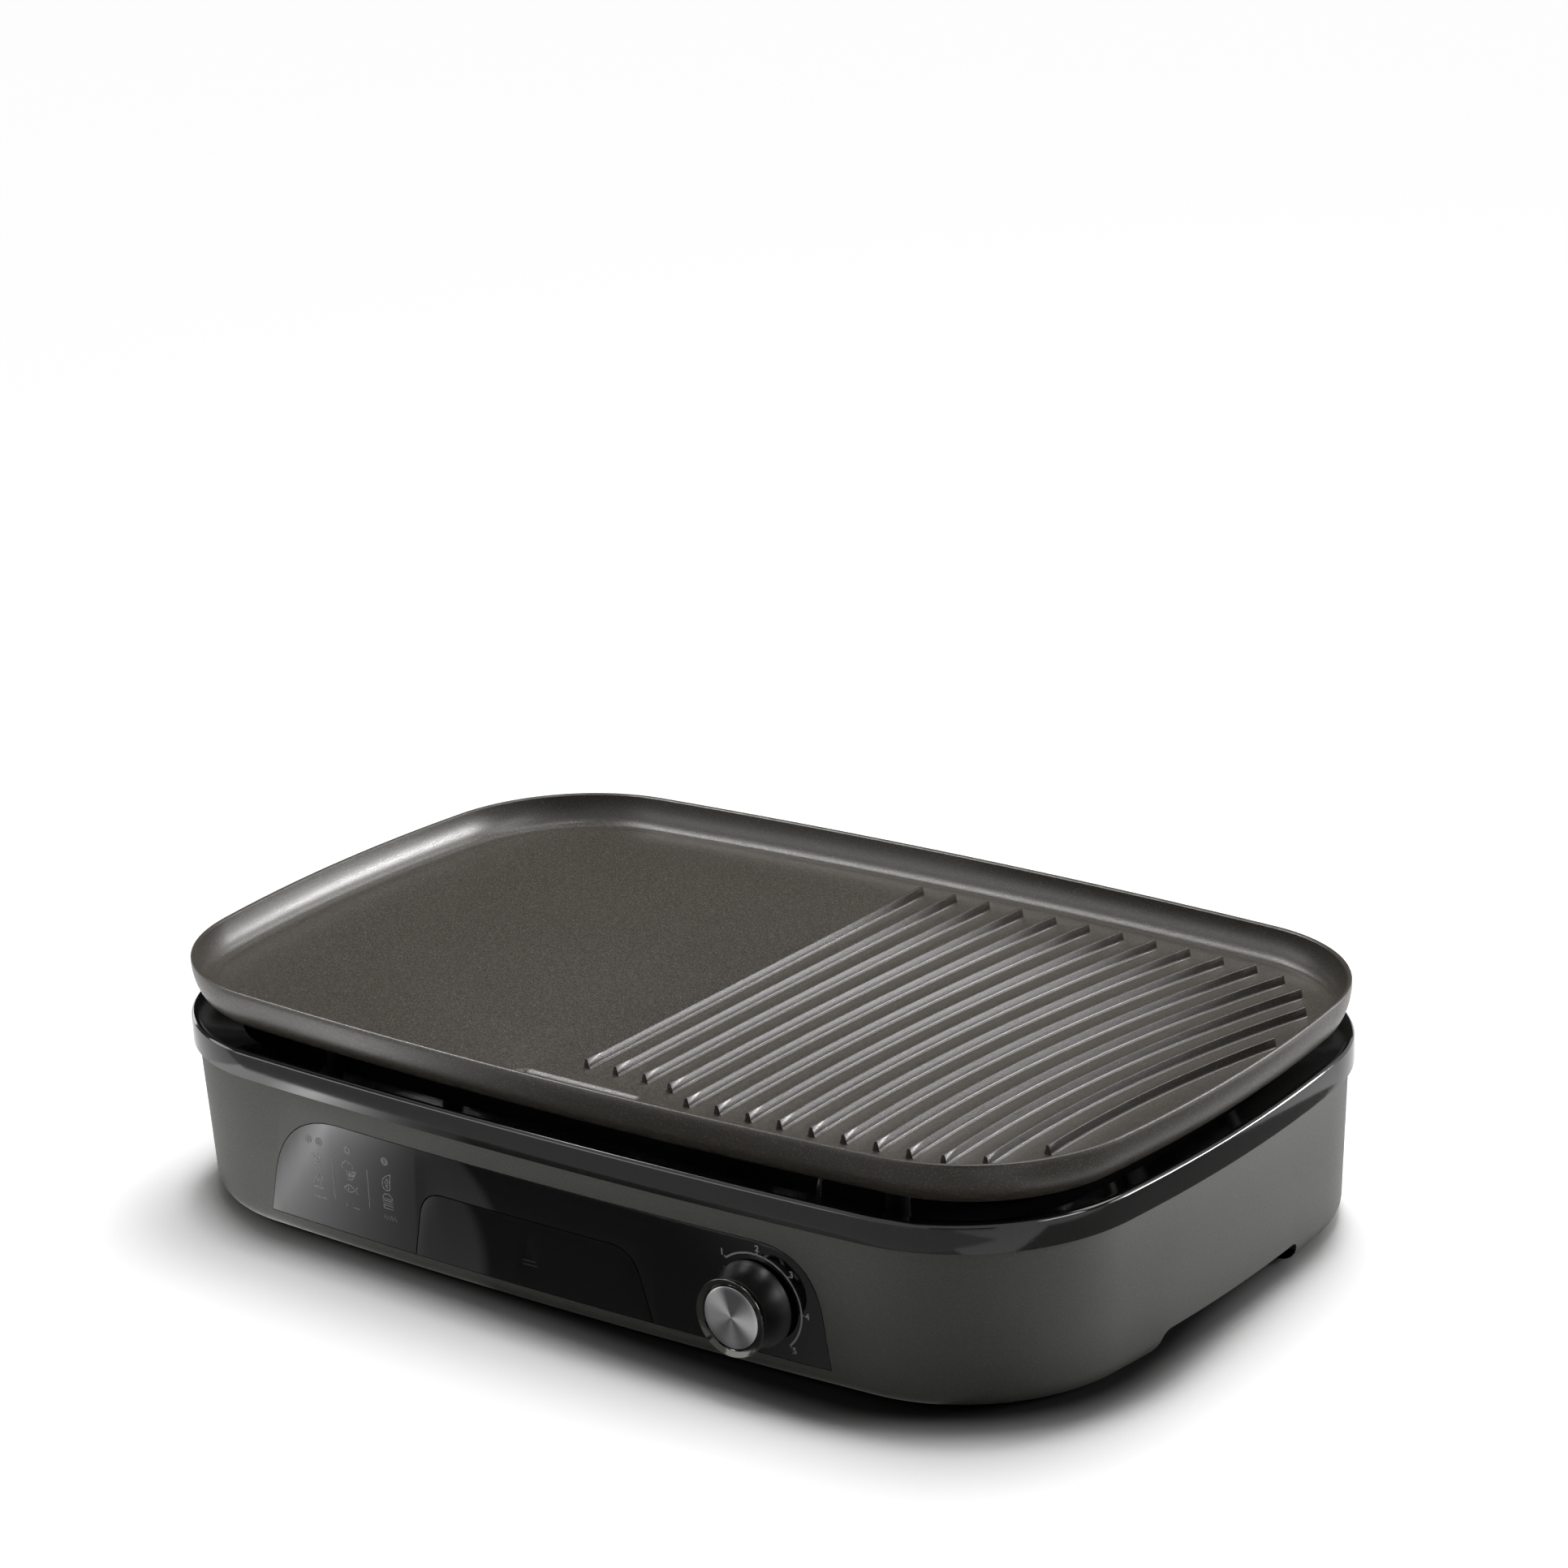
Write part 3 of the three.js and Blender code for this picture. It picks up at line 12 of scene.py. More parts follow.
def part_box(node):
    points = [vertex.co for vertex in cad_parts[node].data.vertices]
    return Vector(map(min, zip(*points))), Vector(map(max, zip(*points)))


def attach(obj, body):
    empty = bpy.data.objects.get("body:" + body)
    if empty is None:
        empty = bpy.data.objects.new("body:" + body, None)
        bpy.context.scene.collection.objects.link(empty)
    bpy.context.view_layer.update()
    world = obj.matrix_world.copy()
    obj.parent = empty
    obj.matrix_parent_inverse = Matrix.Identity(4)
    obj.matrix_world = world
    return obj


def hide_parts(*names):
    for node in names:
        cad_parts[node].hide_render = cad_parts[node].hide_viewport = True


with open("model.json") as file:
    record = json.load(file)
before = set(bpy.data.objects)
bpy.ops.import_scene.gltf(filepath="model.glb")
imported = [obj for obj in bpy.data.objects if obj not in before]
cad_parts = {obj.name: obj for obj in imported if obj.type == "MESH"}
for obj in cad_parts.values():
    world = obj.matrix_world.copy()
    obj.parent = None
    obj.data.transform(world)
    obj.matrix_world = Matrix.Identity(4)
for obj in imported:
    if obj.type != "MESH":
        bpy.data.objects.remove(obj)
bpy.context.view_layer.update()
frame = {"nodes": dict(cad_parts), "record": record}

bl_info = {
    "name": "Electric table grill",
    "version": (1, 0, 0),
    "blender": (4, 5, 0),
    "location": "View3D > Sidebar > Grill",
    "description": "Builds the grill's visible pieces, finishes and studio",
    "category": "Object",
}

MM = 0.001
UP = Vector((0, 0, 1))
VERT, EDGE = bmesh.types.BMVert, bmesh.types.BMEdge
SEEN_RAYS = ("Is Camera Ray", "Is Glossy Ray", "Is Transmission Ray")
ring_low, ring_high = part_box("trim_ring")
MIDDLE = (ring_low.y + ring_high.y) / 2
knob_low, knob_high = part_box("knob_rim")
DIAL_X = (knob_low.x + knob_high.x) / 2
DIAL_Z = (knob_low.z + knob_high.z) / 2

# Plan outlines, as four shallow bows joined by round corners, in millimetres
BASE_PLAN = {"a": 245.0, "b": 157.5, "bow": 3090.0, "end": 727.0, "corner": 82.0}
PLATE_PLAN = {"a": 245.0, "b": 154.0, "bow": 2361.0, "end": 646.0, "corner": 75.7}
BODY_BOTTOM = 1.2
BODY_TOP = 71.0
OVERHANG = 2.5
TAPER = math.tan(math.radians(3))
FRONT_EDGE = 6.0
END_EDGE = 8.0
WALL = 2.5
DISH_FLOOR = 93.0
PLATE_TOP = 108.0
PLATE_UNDER = 88.0
PLATE_LIP = 107.4
DRAIN_X, DRAIN_Y, DRAIN_LENGTH = -1.5, -126, 55.6
RIB_START = -9.7
RIB_PITCH = 15.35
FAN_FROM = -75
FAN_SPREAD = 14800
PANEL_THICK = 3.0
PANEL_BOTTOM = 9.6
TRAY_MIDDLE = -9.5
TRAY_TOP = 41
SHAFT_HOLE = 3.8
SCALE_START = -38.5
SCALE_RADIUS = 21.8
GAP = 0.3
CLEAR = 6


# Sizes and colours that a user would change


class GrillPlateSettings(bpy.types.PropertyGroup):
    rib_count: IntProperty(
        name="Ribs", description="Number of cooking ribs", default=15, min=1, max=24,
    )
    rib_height: FloatProperty(
        name="Rib height", description="Height of a rib over the dish floor",
        default=4.1 * MM, unit="LENGTH", subtype="DISTANCE", precision=4,
    )
    coating: FloatVectorProperty(
        name="Coating", description="Ground colour of the non-stick coating",
        default=(0.040, 0.0330, 0.0240), size=3, subtype="COLOR", min=0, max=1,
    )


class GrillBodySettings(bpy.types.PropertyGroup):
    housing: FloatVectorProperty(
        name="Housing", description="Ground colour of the moulded housing",
        default=(0.090, 0.093, 0.080), size=3, subtype="COLOR", min=0, max=1,
    )
    panel: FloatVectorProperty(
        name="Panel", description="Colour of the gloss front panel",
        default=(0.0035, 0.0036, 0.0035), size=3, subtype="COLOR", min=0, max=1,
    )
    print_colour: FloatVectorProperty(
        name="Print", description="Colour of the pictograms and the scale",
        default=(0.42, 0.43, 0.42), size=3, subtype="COLOR", min=0, max=1,
    )


class GrillStudioSettings(bpy.types.PropertyGroup):
    lens: FloatProperty(name="Lens", description="Focal length in millimetres", default=110.324)
    fill: FloatProperty(
        name="Fill", description="Strength of the light from all round", default=0.03,
    )


# Shader maths: a wrapped socket on which Python's operators add nodes


class Value:
    def __init__(self, tree, socket):
        self.tree = tree
        self.socket = socket

    def _maths(self, operation, first, second=None):
        node = self.tree.add("ShaderNodeMath", {"operation": operation})
        for place, item in enumerate((first, second)):
            if item is not None:
                self.tree.feed(node.inputs[place], item)
        return Value(self.tree, node.outputs[0])

    def __add__(self, other):
        return self._maths("ADD", self, other)

    def __sub__(self, other):
        return self._maths("SUBTRACT", self, other)

    def __rsub__(self, other):
        return self._maths("SUBTRACT", other, self)

    def __mul__(self, other):
        return self._maths("MULTIPLY", self, other)

    def __pow__(self, other):
        return self._maths("POWER", self, other)

    __radd__ = __add__
    __rmul__ = __mul__

    def maths(self, operation, other=None):
        return self._maths(operation, self, other)


class Tree:
    """The node tree of one material."""

    def __init__(self, name):
        self.material = bpy.data.materials.new(name)
        self.material.use_nodes = True
        self.nodes = self.material.node_tree.nodes
        self.links = self.material.node_tree.links
        self.shader = self.nodes["Principled BSDF"]

    def feed(self, socket, item):
        if isinstance(item, Value):
            item = item.socket
        if isinstance(item, bpy.types.NodeSocket):
            self.links.new(item, socket)
        else:
            opaque = socket.type == "RGBA" and len(item) == 3
            socket.default_value = (*item, 1.0) if opaque else item

    def add(self, kind, settings=None, **inputs):
        node = self.nodes.new(kind)
        for key, item in (settings or {}).items():
            setattr(node, key, item)
        for key, item in inputs.items():
            self.feed(node.inputs[key.replace("_", " ")], item)
        return node

    def value(self, node, output=0):
        return Value(self, node.outputs[output])

    def place(self):
        return self.add("ShaderNodeTexCoord").outputs["Object"]

    def axes(self):
        split = self.add("ShaderNodeSeparateXYZ", Vector=self.place())
        return [self.value(split, i) for i in range(3)]

    def noise(self, scale, detail=2.0, rough=0.5):
        settings = {"Scale": scale, "Detail": detail, "Roughness": rough, "Vector": self.place()}
        return self.value(self.add("ShaderNodeTexNoise", **settings))

    def ramp(self, value, low, high, to_low=0.0, to_high=1.0, smooth=True):
        settings = {"interpolation_type": "SMOOTHSTEP"} if smooth else {}
        node = self.add("ShaderNodeMapRange", settings)
        for socket, item in zip(node.inputs, (value, low, high, to_low, to_high)):
            self.feed(socket, item)
        return self.value(node)

    def mix(self, factor, first, second):
        node = self.add("ShaderNodeMix", {"data_type": "RGBA"})
        for place, item in ((0, factor), (6, first), (7, second)):
            self.feed(node.inputs[place], item)
        return node.outputs[2]

    def bump(self, height, distance, strength=1.0):
        node = self.add("ShaderNodeBump", Strength=strength, Distance=distance, Height=height)
        self.links.new(node.outputs["Normal"], self.shader.inputs["Normal"])

    def set(self, **inputs):
        for key, item in inputs.items():
            self.feed(self.shader.inputs[key.replace("_", " ")], item)
        return self.material


def plain_finish(
    name, colour, roughness, metallic=0.0, grain=0.25, scale=900, ior=1.45, depth=0.04,
):
    """A moulded, rolled or painted surface: faint mottling and a fine grain."""
    tree = Tree(name)
    cloud = tree.noise(scale / 25, 3.0)
    fine = tree.noise(scale, 2.0, 0.6)
    dark = [c * (1 - grain) for c in colour]
    light = [min(1.0, c * (1 + grain)) for c in colour]
    tree.set(
        Base_Color=tree.mix(cloud * 0.5 + fine * 0.5, dark, light),
        Roughness=tree.ramp(cloud, 0.3, 0.7, max(0.02, roughness - 0.05), roughness + 0.05),
        Metallic=metallic, IOR=ior,
    )
    tree.bump(fine, depth * MM, 0.6)
    return tree.material


def coating_finish(colour):
    """The plate's non-stick coating: warm and dark, with fine bright specks and a pebbled skin."""
    tree = Tree("speckled_coating")
    fine = tree.noise(1500, 1.0, 0.4)
    specks = tree.ramp(tree.noise(1900, 0.0, 0.4), 0.60, 0.74)
    cloud = tree.noise(14, 3.0)
    ground = tree.mix(cloud, [c * 0.86 for c in colour], [c * 1.16 for c in colour])
    tree.set(
        Base_Color=tree.mix(specks * 0.55, ground, (0.17, 0.165, 0.14)),
        Roughness=tree.ramp(fine, 0.3, 0.7, 0.30, 0.42),
        Metallic=0.0, IOR=1.5,
    )
    tree.bump(fine, 0.05 * MM, 0.55)
    return tree.material


def housing_finish(colour):
    """The housing's matt lacquer with a faint metal fleck."""
    tree = Tree("flecked_housing")
    fleck = tree.ramp(tree.noise(2300, 0.0, 0.4), 0.56, 0.72)
    grain = tree.noise(1100, 2.0, 0.5)
    cloud = tree.noise(9, 2.0)
    ground = tree.mix(cloud, [c * 0.94 for c in colour], [c * 1.06 for c in colour])
    tree.set(
        Base_Color=tree.mix(fleck * 0.35, ground, (0.17, 0.175, 0.155)),
        Roughness=tree.ramp(grain, 0.3, 0.7, 0.50, 0.60),
        IOR=1.38,
    )
    tree.bump(grain, 0.02 * MM, 0.5)
    return tree.material


def gloss_finish(name, colour, roughness=0.06, ior=1.45):
    """Clear gloss over a deep colour, with the faint waviness of a moulding."""
    tree = Tree(name)
    wave = tree.noise(28, 1.0)
    dust = tree.ramp(tree.noise(420, 3.0, 0.6), 0.45, 0.75)
    tree.set(
        Base_Color=tree.mix(dust * 0.4, colour, [c * 1.8 + 0.0006 for c in colour]),
        Roughness=tree.ramp(dust, 0.0, 1.0, roughness, roughness + 0.03),
        IOR=ior,
    )
    tree.bump(wave, 0.25 * MM, 0.15)
    return tree.material


def spun_and_painted_highlight_finish():
    """Spun metal of the knob's cap: fine turned rings in colour, roughness and bump, and a painted
    highlight of bright streaks that fan out round the middle, laid into the base colour.
    """
    tree = Tree("spun_metal_painted_highlight")
    x, _, z = tree.axes()
    x, z = x - DIAL_X, z - DIAL_Z
    radius = (x * x + z * z).maths("SQRT")
    angle = z.maths("ARCTAN2", x)
    # Painted highlight: bright fan-shaped streaks by angle round the dial's middle, for the base
    # colour
    painted_fan_wave = (angle * 2 + 0.5).maths("COSINE") * 0.5 + (angle * 3 - 0.6).maths("COSINE") * 0.32
    painted_fan_wave = painted_fan_wave + (angle * 5 + 1.3).maths("COSINE") * 0.18
    painted_fan_highlight = tree.ramp(painted_fan_wave, -0.6, 1.0)
    rings = (radius * 16000).maths("SINE") * 0.5 + 0.5
    # The painted highlight takes the dark metal towards near white
    colour = tree.mix(painted_fan_highlight, (0.16, 0.16, 0.165), (0.95, 0.95, 0.96))
    tree.set(
        Base_Color=tree.mix(rings * 0.10, colour, (0.25, 0.25, 0.25)),
        Roughness=tree.ramp(rings, 0.0, 1.0, 0.26, 0.36),
        Metallic=1.0,
    )
    tree.bump(rings, 0.01 * MM, 0.35)
    return tree.material


# Modelling helpers: every length is in millimetres until a piece is finished


def only(items, *kinds):
    return [item for item in items if isinstance(item, kinds)]


def turned(bm, geom, x, y, angle, steps):
    """Spins geometry about an upright line and gives what ends the turn."""
    made = bmesh.ops.spin(
        bm, geom=geom, cent=(x, y, 0), axis=UP, angle=angle, steps=steps,
        use_merge=False, use_duplicate=False,
    )
    return made["geom_last"]


def corner_of(plan):
    """Centre of the first-quadrant corner, and the angles at which the arcs meet."""
    bow = Vector((0, plan["b"] - plan["bow"]))
    end = Vector((plan["a"] - plan["end"], 0))
    bow_reach, end_reach = plan["bow"] - plan["corner"], plan["end"] - plan["corner"]
    line = end - bow
    gap = line.length
    along = (bow_reach**2 - end_reach**2 + gap**2) / (2 * gap)
    across = math.sqrt(bow_reach**2 - along**2)
    line /= gap
    centre = bow + line * along + Vector((line.y, -line.x)) * across
    from_end, from_bow = centre - end, centre - bow
    return bow, end, centre, math.atan2(from_end.y, from_end.x), math.atan2(from_bow.y, from_bow.x)


def arcs_of(plan, corner_steps=26, bow_steps=18, end_steps=12):
    """The eight arcs, starting on the right-hand end, as (centre, angle, steps)."""
    bow, end, centre, end_angle, bow_angle = corner_of(plan)
    turn = bow_angle - end_angle
    front = 2 * (math.pi / 2 - bow_angle)
    half = end_steps // 2
    flip = ((1, 1), (-1, 1), (-1, -1), (1, -1))
    corners = [Vector((centre.x * x, centre.y * y)) for x, y in flip]
    return [
        (end, end_angle, half), (corners[0], turn, corner_steps), (bow, front, bow_steps),
        (corners[1], turn, corner_steps), (-end, 2 * end_angle, end_steps),
        (corners[2], turn, corner_steps), (-bow, front, bow_steps),
        (corners[3], turn, corner_steps), (end, end_angle, half),
    ]


def chain(bm, points, closed=False):
    """A row of edges through the points."""
    verts = [bm.verts.new(p) for p in points]
    pairs = list(zip(verts, verts[1:] + verts[:1] if closed else verts[1:]))
    edges = [bm.edges.new(pair) for pair in pairs]
    return verts, edges


def spin_round(bm, plan, profile, closed=False):
    """Turns a profile of (inset, height) round the whole outline."""
    points = [(plan["a"] - inset, 0, z) for inset, z in profile]
    verts, edges = chain(bm, points, closed)
    geom = verts + edges
    for centre, angle, steps in arcs_of(plan):
        geom = only(turned(bm, geom, centre.x, centre.y, angle, steps), VERT, EDGE)
    bmesh.ops.remove_doubles(bm, verts=bm.verts, dist=0.01)
    bmesh.ops.recalc_face_normals(bm, faces=bm.faces)


def inset_plan(plan, inset_x, inset_y):
    return {
        "a": plan["a"] - inset_x, "b": plan["b"] - inset_y, "bow": plan["bow"] - inset_y,
        "end": plan["end"] - inset_x, "corner": plan["corner"] - min(inset_x, inset_y),
    }


def loft_round(bm, plan, levels, hoop=False):
    """A skin through outlines of (end inset, front inset, height)."""
    rings = []
    for inset_x, inset_y, z in levels:
        before = set(bm.edges)
        last = first = bm.verts.new((plan["a"] - inset_x, 0, z))
        level = inset_plan(plan, inset_x, inset_y)
        for centre, angle, steps in arcs_of(level):
            last = only(turned(bm, [last], centre.x, centre.y, angle, steps), VERT)[0]
        bmesh.ops.weld_verts(bm, targetmap={last: first})
        rings.append([e for e in bm.edges if e not in before])
    pairs = list(zip(rings, rings[1:] + rings[:1] if hoop else rings[1:]))
    for low, high in pairs:
        bmesh.ops.bridge_loops(bm, edges=low + high)
    if not hoop:
        bmesh.ops.holes_fill(bm, edges=rings[0] + rings[-1])
    bmesh.ops.recalc_face_normals(bm, faces=bm.faces)


def stadium_loop(bm, profile, x, y, length):
    """Turns a profile of (radius, height) round a slot with straight sides along X."""
    half = length / 2
    verts, edges = chain(bm, [(x + half, y - r, z) for r, z in profile])
    geom = verts + edges
    for centre, shift in ((x + half, -length), (x - half, length)):
        last = only(turned(bm, geom, centre, y, math.pi, 12), EDGE)
        made = bmesh.ops.extrude_edge_only(bm, edges=last)["geom"]
        bmesh.ops.translate(bm, verts=only(made, VERT), vec=(shift, 0, 0))
        geom = only(made, VERT, EDGE)
    bmesh.ops.remove_doubles(bm, verts=bm.verts, dist=0.005)


def rim_edges(bm, z):
    """Open edges at a height."""
    return [e for e in bm.edges if e.is_boundary and all(abs(v.co.z - z) < 1e-4 for v in e.verts)]


def skin_y(x, z, depth=0.0):
    """The housing's front surface, at a depth behind its skin."""
    bow = BASE_PLAN["bow"]
    inset = OVERHANG + (BODY_TOP - z) * TAPER + depth
    radius = bow - inset
    return -(math.sqrt(radius**2 - x**2) - (bow - BASE_PLAN["b"]))


def mesh_from(bm, name):
    mesh = bpy.data.meshes.new(name)
    bm.to_mesh(mesh)
    bm.free()
    return mesh


def show(name, data):
    piece = bpy.data.objects.new(name, data)
    bpy.context.scene.collection.objects.link(piece)
    return piece


def finish_mesh(bm, name="tool", material=None):
    """Takes a bmesh in millimetres to an object in metres, in the frame."""
    bmesh.ops.scale(bm, verts=bm.verts, vec=(MM, MM, MM))
    bmesh.ops.translate(bm, verts=bm.verts, vec=(0, MIDDLE, 0))
    return wrap(mesh_from(bm, name), name, material)


def wrap(mesh, name, material, angle=32):
    mesh.shade_smooth()
    mesh.set_sharp_from_angle(angle=math.radians(angle))
    mesh.materials.clear()
    if material is not None:
        mesh.materials.append(material)
    return show(name, mesh)


def fix(piece, body, nodes=()):
    """Rides a finished piece on its body and hides the CAD nodes that it stands for."""
    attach(piece, body)
    if nodes:
        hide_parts(*nodes)
    return piece


def drawn_mesh(piece):
    """The mesh of an object with its modifiers, curve or text worked out."""
    graph = bpy.context.evaluated_depsgraph_get()
    return bpy.data.meshes.new_from_object(piece.evaluated_get(graph))


def settle(piece, angle=32):
    """Applies a piece's modifiers to its mesh."""
    mesh = drawn_mesh(piece)
    piece.modifiers.clear()
    piece.data = mesh
    mesh.shade_smooth()
    mesh.set_sharp_from_angle(angle=math.radians(angle))
    return piece


def soften(piece, width, segments, limit, angle):
    """Bevels the edges that turn by more than a limit."""
    bevel = piece.modifiers.new("edge", "BEVEL")
    bevel.width, bevel.segments, bevel.limit_method = width * MM, segments, "ANGLE"
    bevel.angle_limit = math.radians(limit)
    settle(piece, angle)


def carve(piece, tools, operation="DIFFERENCE"):
    """Cuts or crosses a piece with closed tool objects, which are used up."""
    for tool in tools:
        modifier = piece.modifiers.new("carve", "BOOLEAN")
        modifier.operation = operation
        modifier.solver = "EXACT"
        modifier.object = tool
    bpy.context.view_layer.update()
    settle(piece)
    for tool in tools:
        bpy.data.objects.remove(tool)
    return piece


def slab(points, depth_front, depth_back, name="tool", material=None, step=6.0):
    """A plate cut to an outline seen from the front, following the housing's bow."""
    bm = bmesh.new()
    _, edges = chain(bm, [(x, 0, z) for x, z in points], closed=True)
    bmesh.ops.triangle_fill(bm, edges=edges, use_beauty=True, use_dissolve=True)
    low, high = min(p[0] for p in points), max(p[0] for p in points)
    cuts = int((high - low) / step)
    for i in range(1, cuts):
        place = low + (high - low) * i / cuts
        bmesh.ops.bisect_plane(
            bm, geom=[*bm.verts, *bm.edges, *bm.faces], plane_co=(place, 0, 0), plane_no=(1, 0, 0),
        )
    made = bmesh.ops.extrude_face_region(bm, geom=list(bm.faces))
    back = set(only(made["geom"], VERT))
    for vert in bm.verts:
        vert.co.y = skin_y(vert.co.x, vert.co.z, depth_back if vert in back else depth_front)
    bmesh.ops.recalc_face_normals(bm, faces=bm.faces)
    return finish_mesh(bm, name, material)


def rounded(points, radii, steps=9):
    """An outline whose corners are rounded by the given radii."""
    out = []
    count = len(points)
    for i, (corner, radius) in enumerate(zip(points, radii)):
        corner = Vector(corner)
        if radius <= 0:
            out.append(tuple(corner))
            continue
        before = (Vector(points[i - 1]) - corner).normalized()
        after = (Vector(points[(i + 1) % count]) - corner).normalized()
        half = before.angle(after) / 2
        reach = radius / math.tan(half)
        centre = corner + (before + after).normalized() * (radius / math.sin(half))
        start, stop = corner + before * reach - centre, corner + after * reach - centre
        sweep = start.angle_signed(stop)
        for s in range(steps + 1):
            turn = -sweep * s / steps
            c, d = math.cos(turn), math.sin(turn)
            out.append((centre.x + start.x * c - start.y * d, centre.y + start.x * d + start.y * c))
    return out


def bezier(points, steps=12):
    """Points along a curve that is given by its control points."""
    curve = []
    for i in range(steps + 1):
        row = [Vector(point) for point in points]
        while len(row) > 1:
            row = [a.lerp(b, i / steps) for a, b in zip(row, row[1:])]
        curve.append(tuple(row[0]))
    return curve


def soft_corner(low, tip, reach, inward):
    """The round top corner of a leaning side."""
    low, tip = Vector(low), Vector(tip)
    return bezier([tip + (low - tip).normalized() * reach, tip, tip + Vector((inward * reach, 0))])


def panel_outline(grow=0.0):
    left, right, bottom, top = -159 - grow, 143 + grow, PANEL_BOTTOM - grow, 60 + grow
    right_corner = soft_corner((right, bottom), (137.8 + grow, top), 28, -1)
    left_corner = soft_corner((left, bottom), (-145.6 - grow, top), 34, 1)
    return [(left, bottom), (right, bottom), *right_corner, *reversed(left_corner)]


def tray_outline(grow=0.0, drop=0.0):
    bottom, top, slope = PANEL_BOTTOM - drop, TRAY_TOP + grow, 0.245
    left, right = -73.5 - grow - slope * drop, 54.5 + grow + slope * drop
    tip = slope * (TRAY_TOP - PANEL_BOTTOM + grow + drop)
    right_corner = soft_corner((right, bottom), (right - tip, top), 12, -1)
    left_corner = soft_corner((left, bottom), (left + tip, top), 12, 1)
    return [(left, bottom), (right, bottom), *right_corner, *reversed(left_corner)]


def edge_run(z, radius):
    rise = z - BODY_BOTTOM
    return radius - math.sqrt(radius**2 - (radius - rise) ** 2) if rise < radius else 0.0


def skin_level(z, depth=0.0):
    inset = OVERHANG + (BODY_TOP - z) * TAPER + depth
    return inset + edge_run(z, END_EDGE), inset + edge_run(z, FRONT_EDGE), z


EDGE_LEVELS = [BODY_BOTTOM + END_EDGE * share for share in
               (0, 0.03, 0.08, 0.16, 0.26, 0.4, 0.55, 0.75, 1)]


def revolve(name, material, profile, steps=96):
    """Turns a closed profile of (radius, y) round the knob's axis."""
    x, z = DIAL_X / MM, DIAL_Z / MM
    bm = bmesh.new()
    verts, edges = chain(bm, [(x + r, y, z) for r, y in profile])
    bmesh.ops.spin(
        bm, geom=verts + edges, cent=(x, 0, z), axis=(0, 1, 0), angle=math.tau, steps=steps,
        use_merge=True, use_duplicate=False,
    )
    bmesh.ops.remove_doubles(bm, verts=bm.verts, dist=0.002)
    bmesh.ops.recalc_face_normals(bm, faces=bm.faces)
    return finish_mesh(bm, name, material)


def refined(node, material, body, tubular=False):
    """A merged and smoothed copy of a CAD node that stands for it."""
    bm = bmesh.new()
    bm.from_mesh(frame["nodes"][node].data)
    bmesh.ops.remove_doubles(bm, verts=bm.verts, dist=1e-6)
    name = node + "_dressed"
    piece = wrap(mesh_from(bm, name), name, material, 35)
    if tubular:
        modifier = piece.modifiers.new("round", "SUBSURF")
        modifier.levels = modifier.render_levels = 1
        settle(piece, 60)
    return fix(piece, body, (node,))


def rod(radius, x, z, low=-170, high=-130):
    """A round tool along Y."""
    bm = bmesh.new()
    bmesh.ops.create_cone(
        bm, cap_ends=True, segments=64, radius1=radius, radius2=radius, depth=high - low,
        matrix=Matrix.Translation((x, (low + high) / 2, z)) @ Matrix.Rotation(math.pi / 2, 4, "X"),
    )
    return finish_mesh(bm)


# Pieces


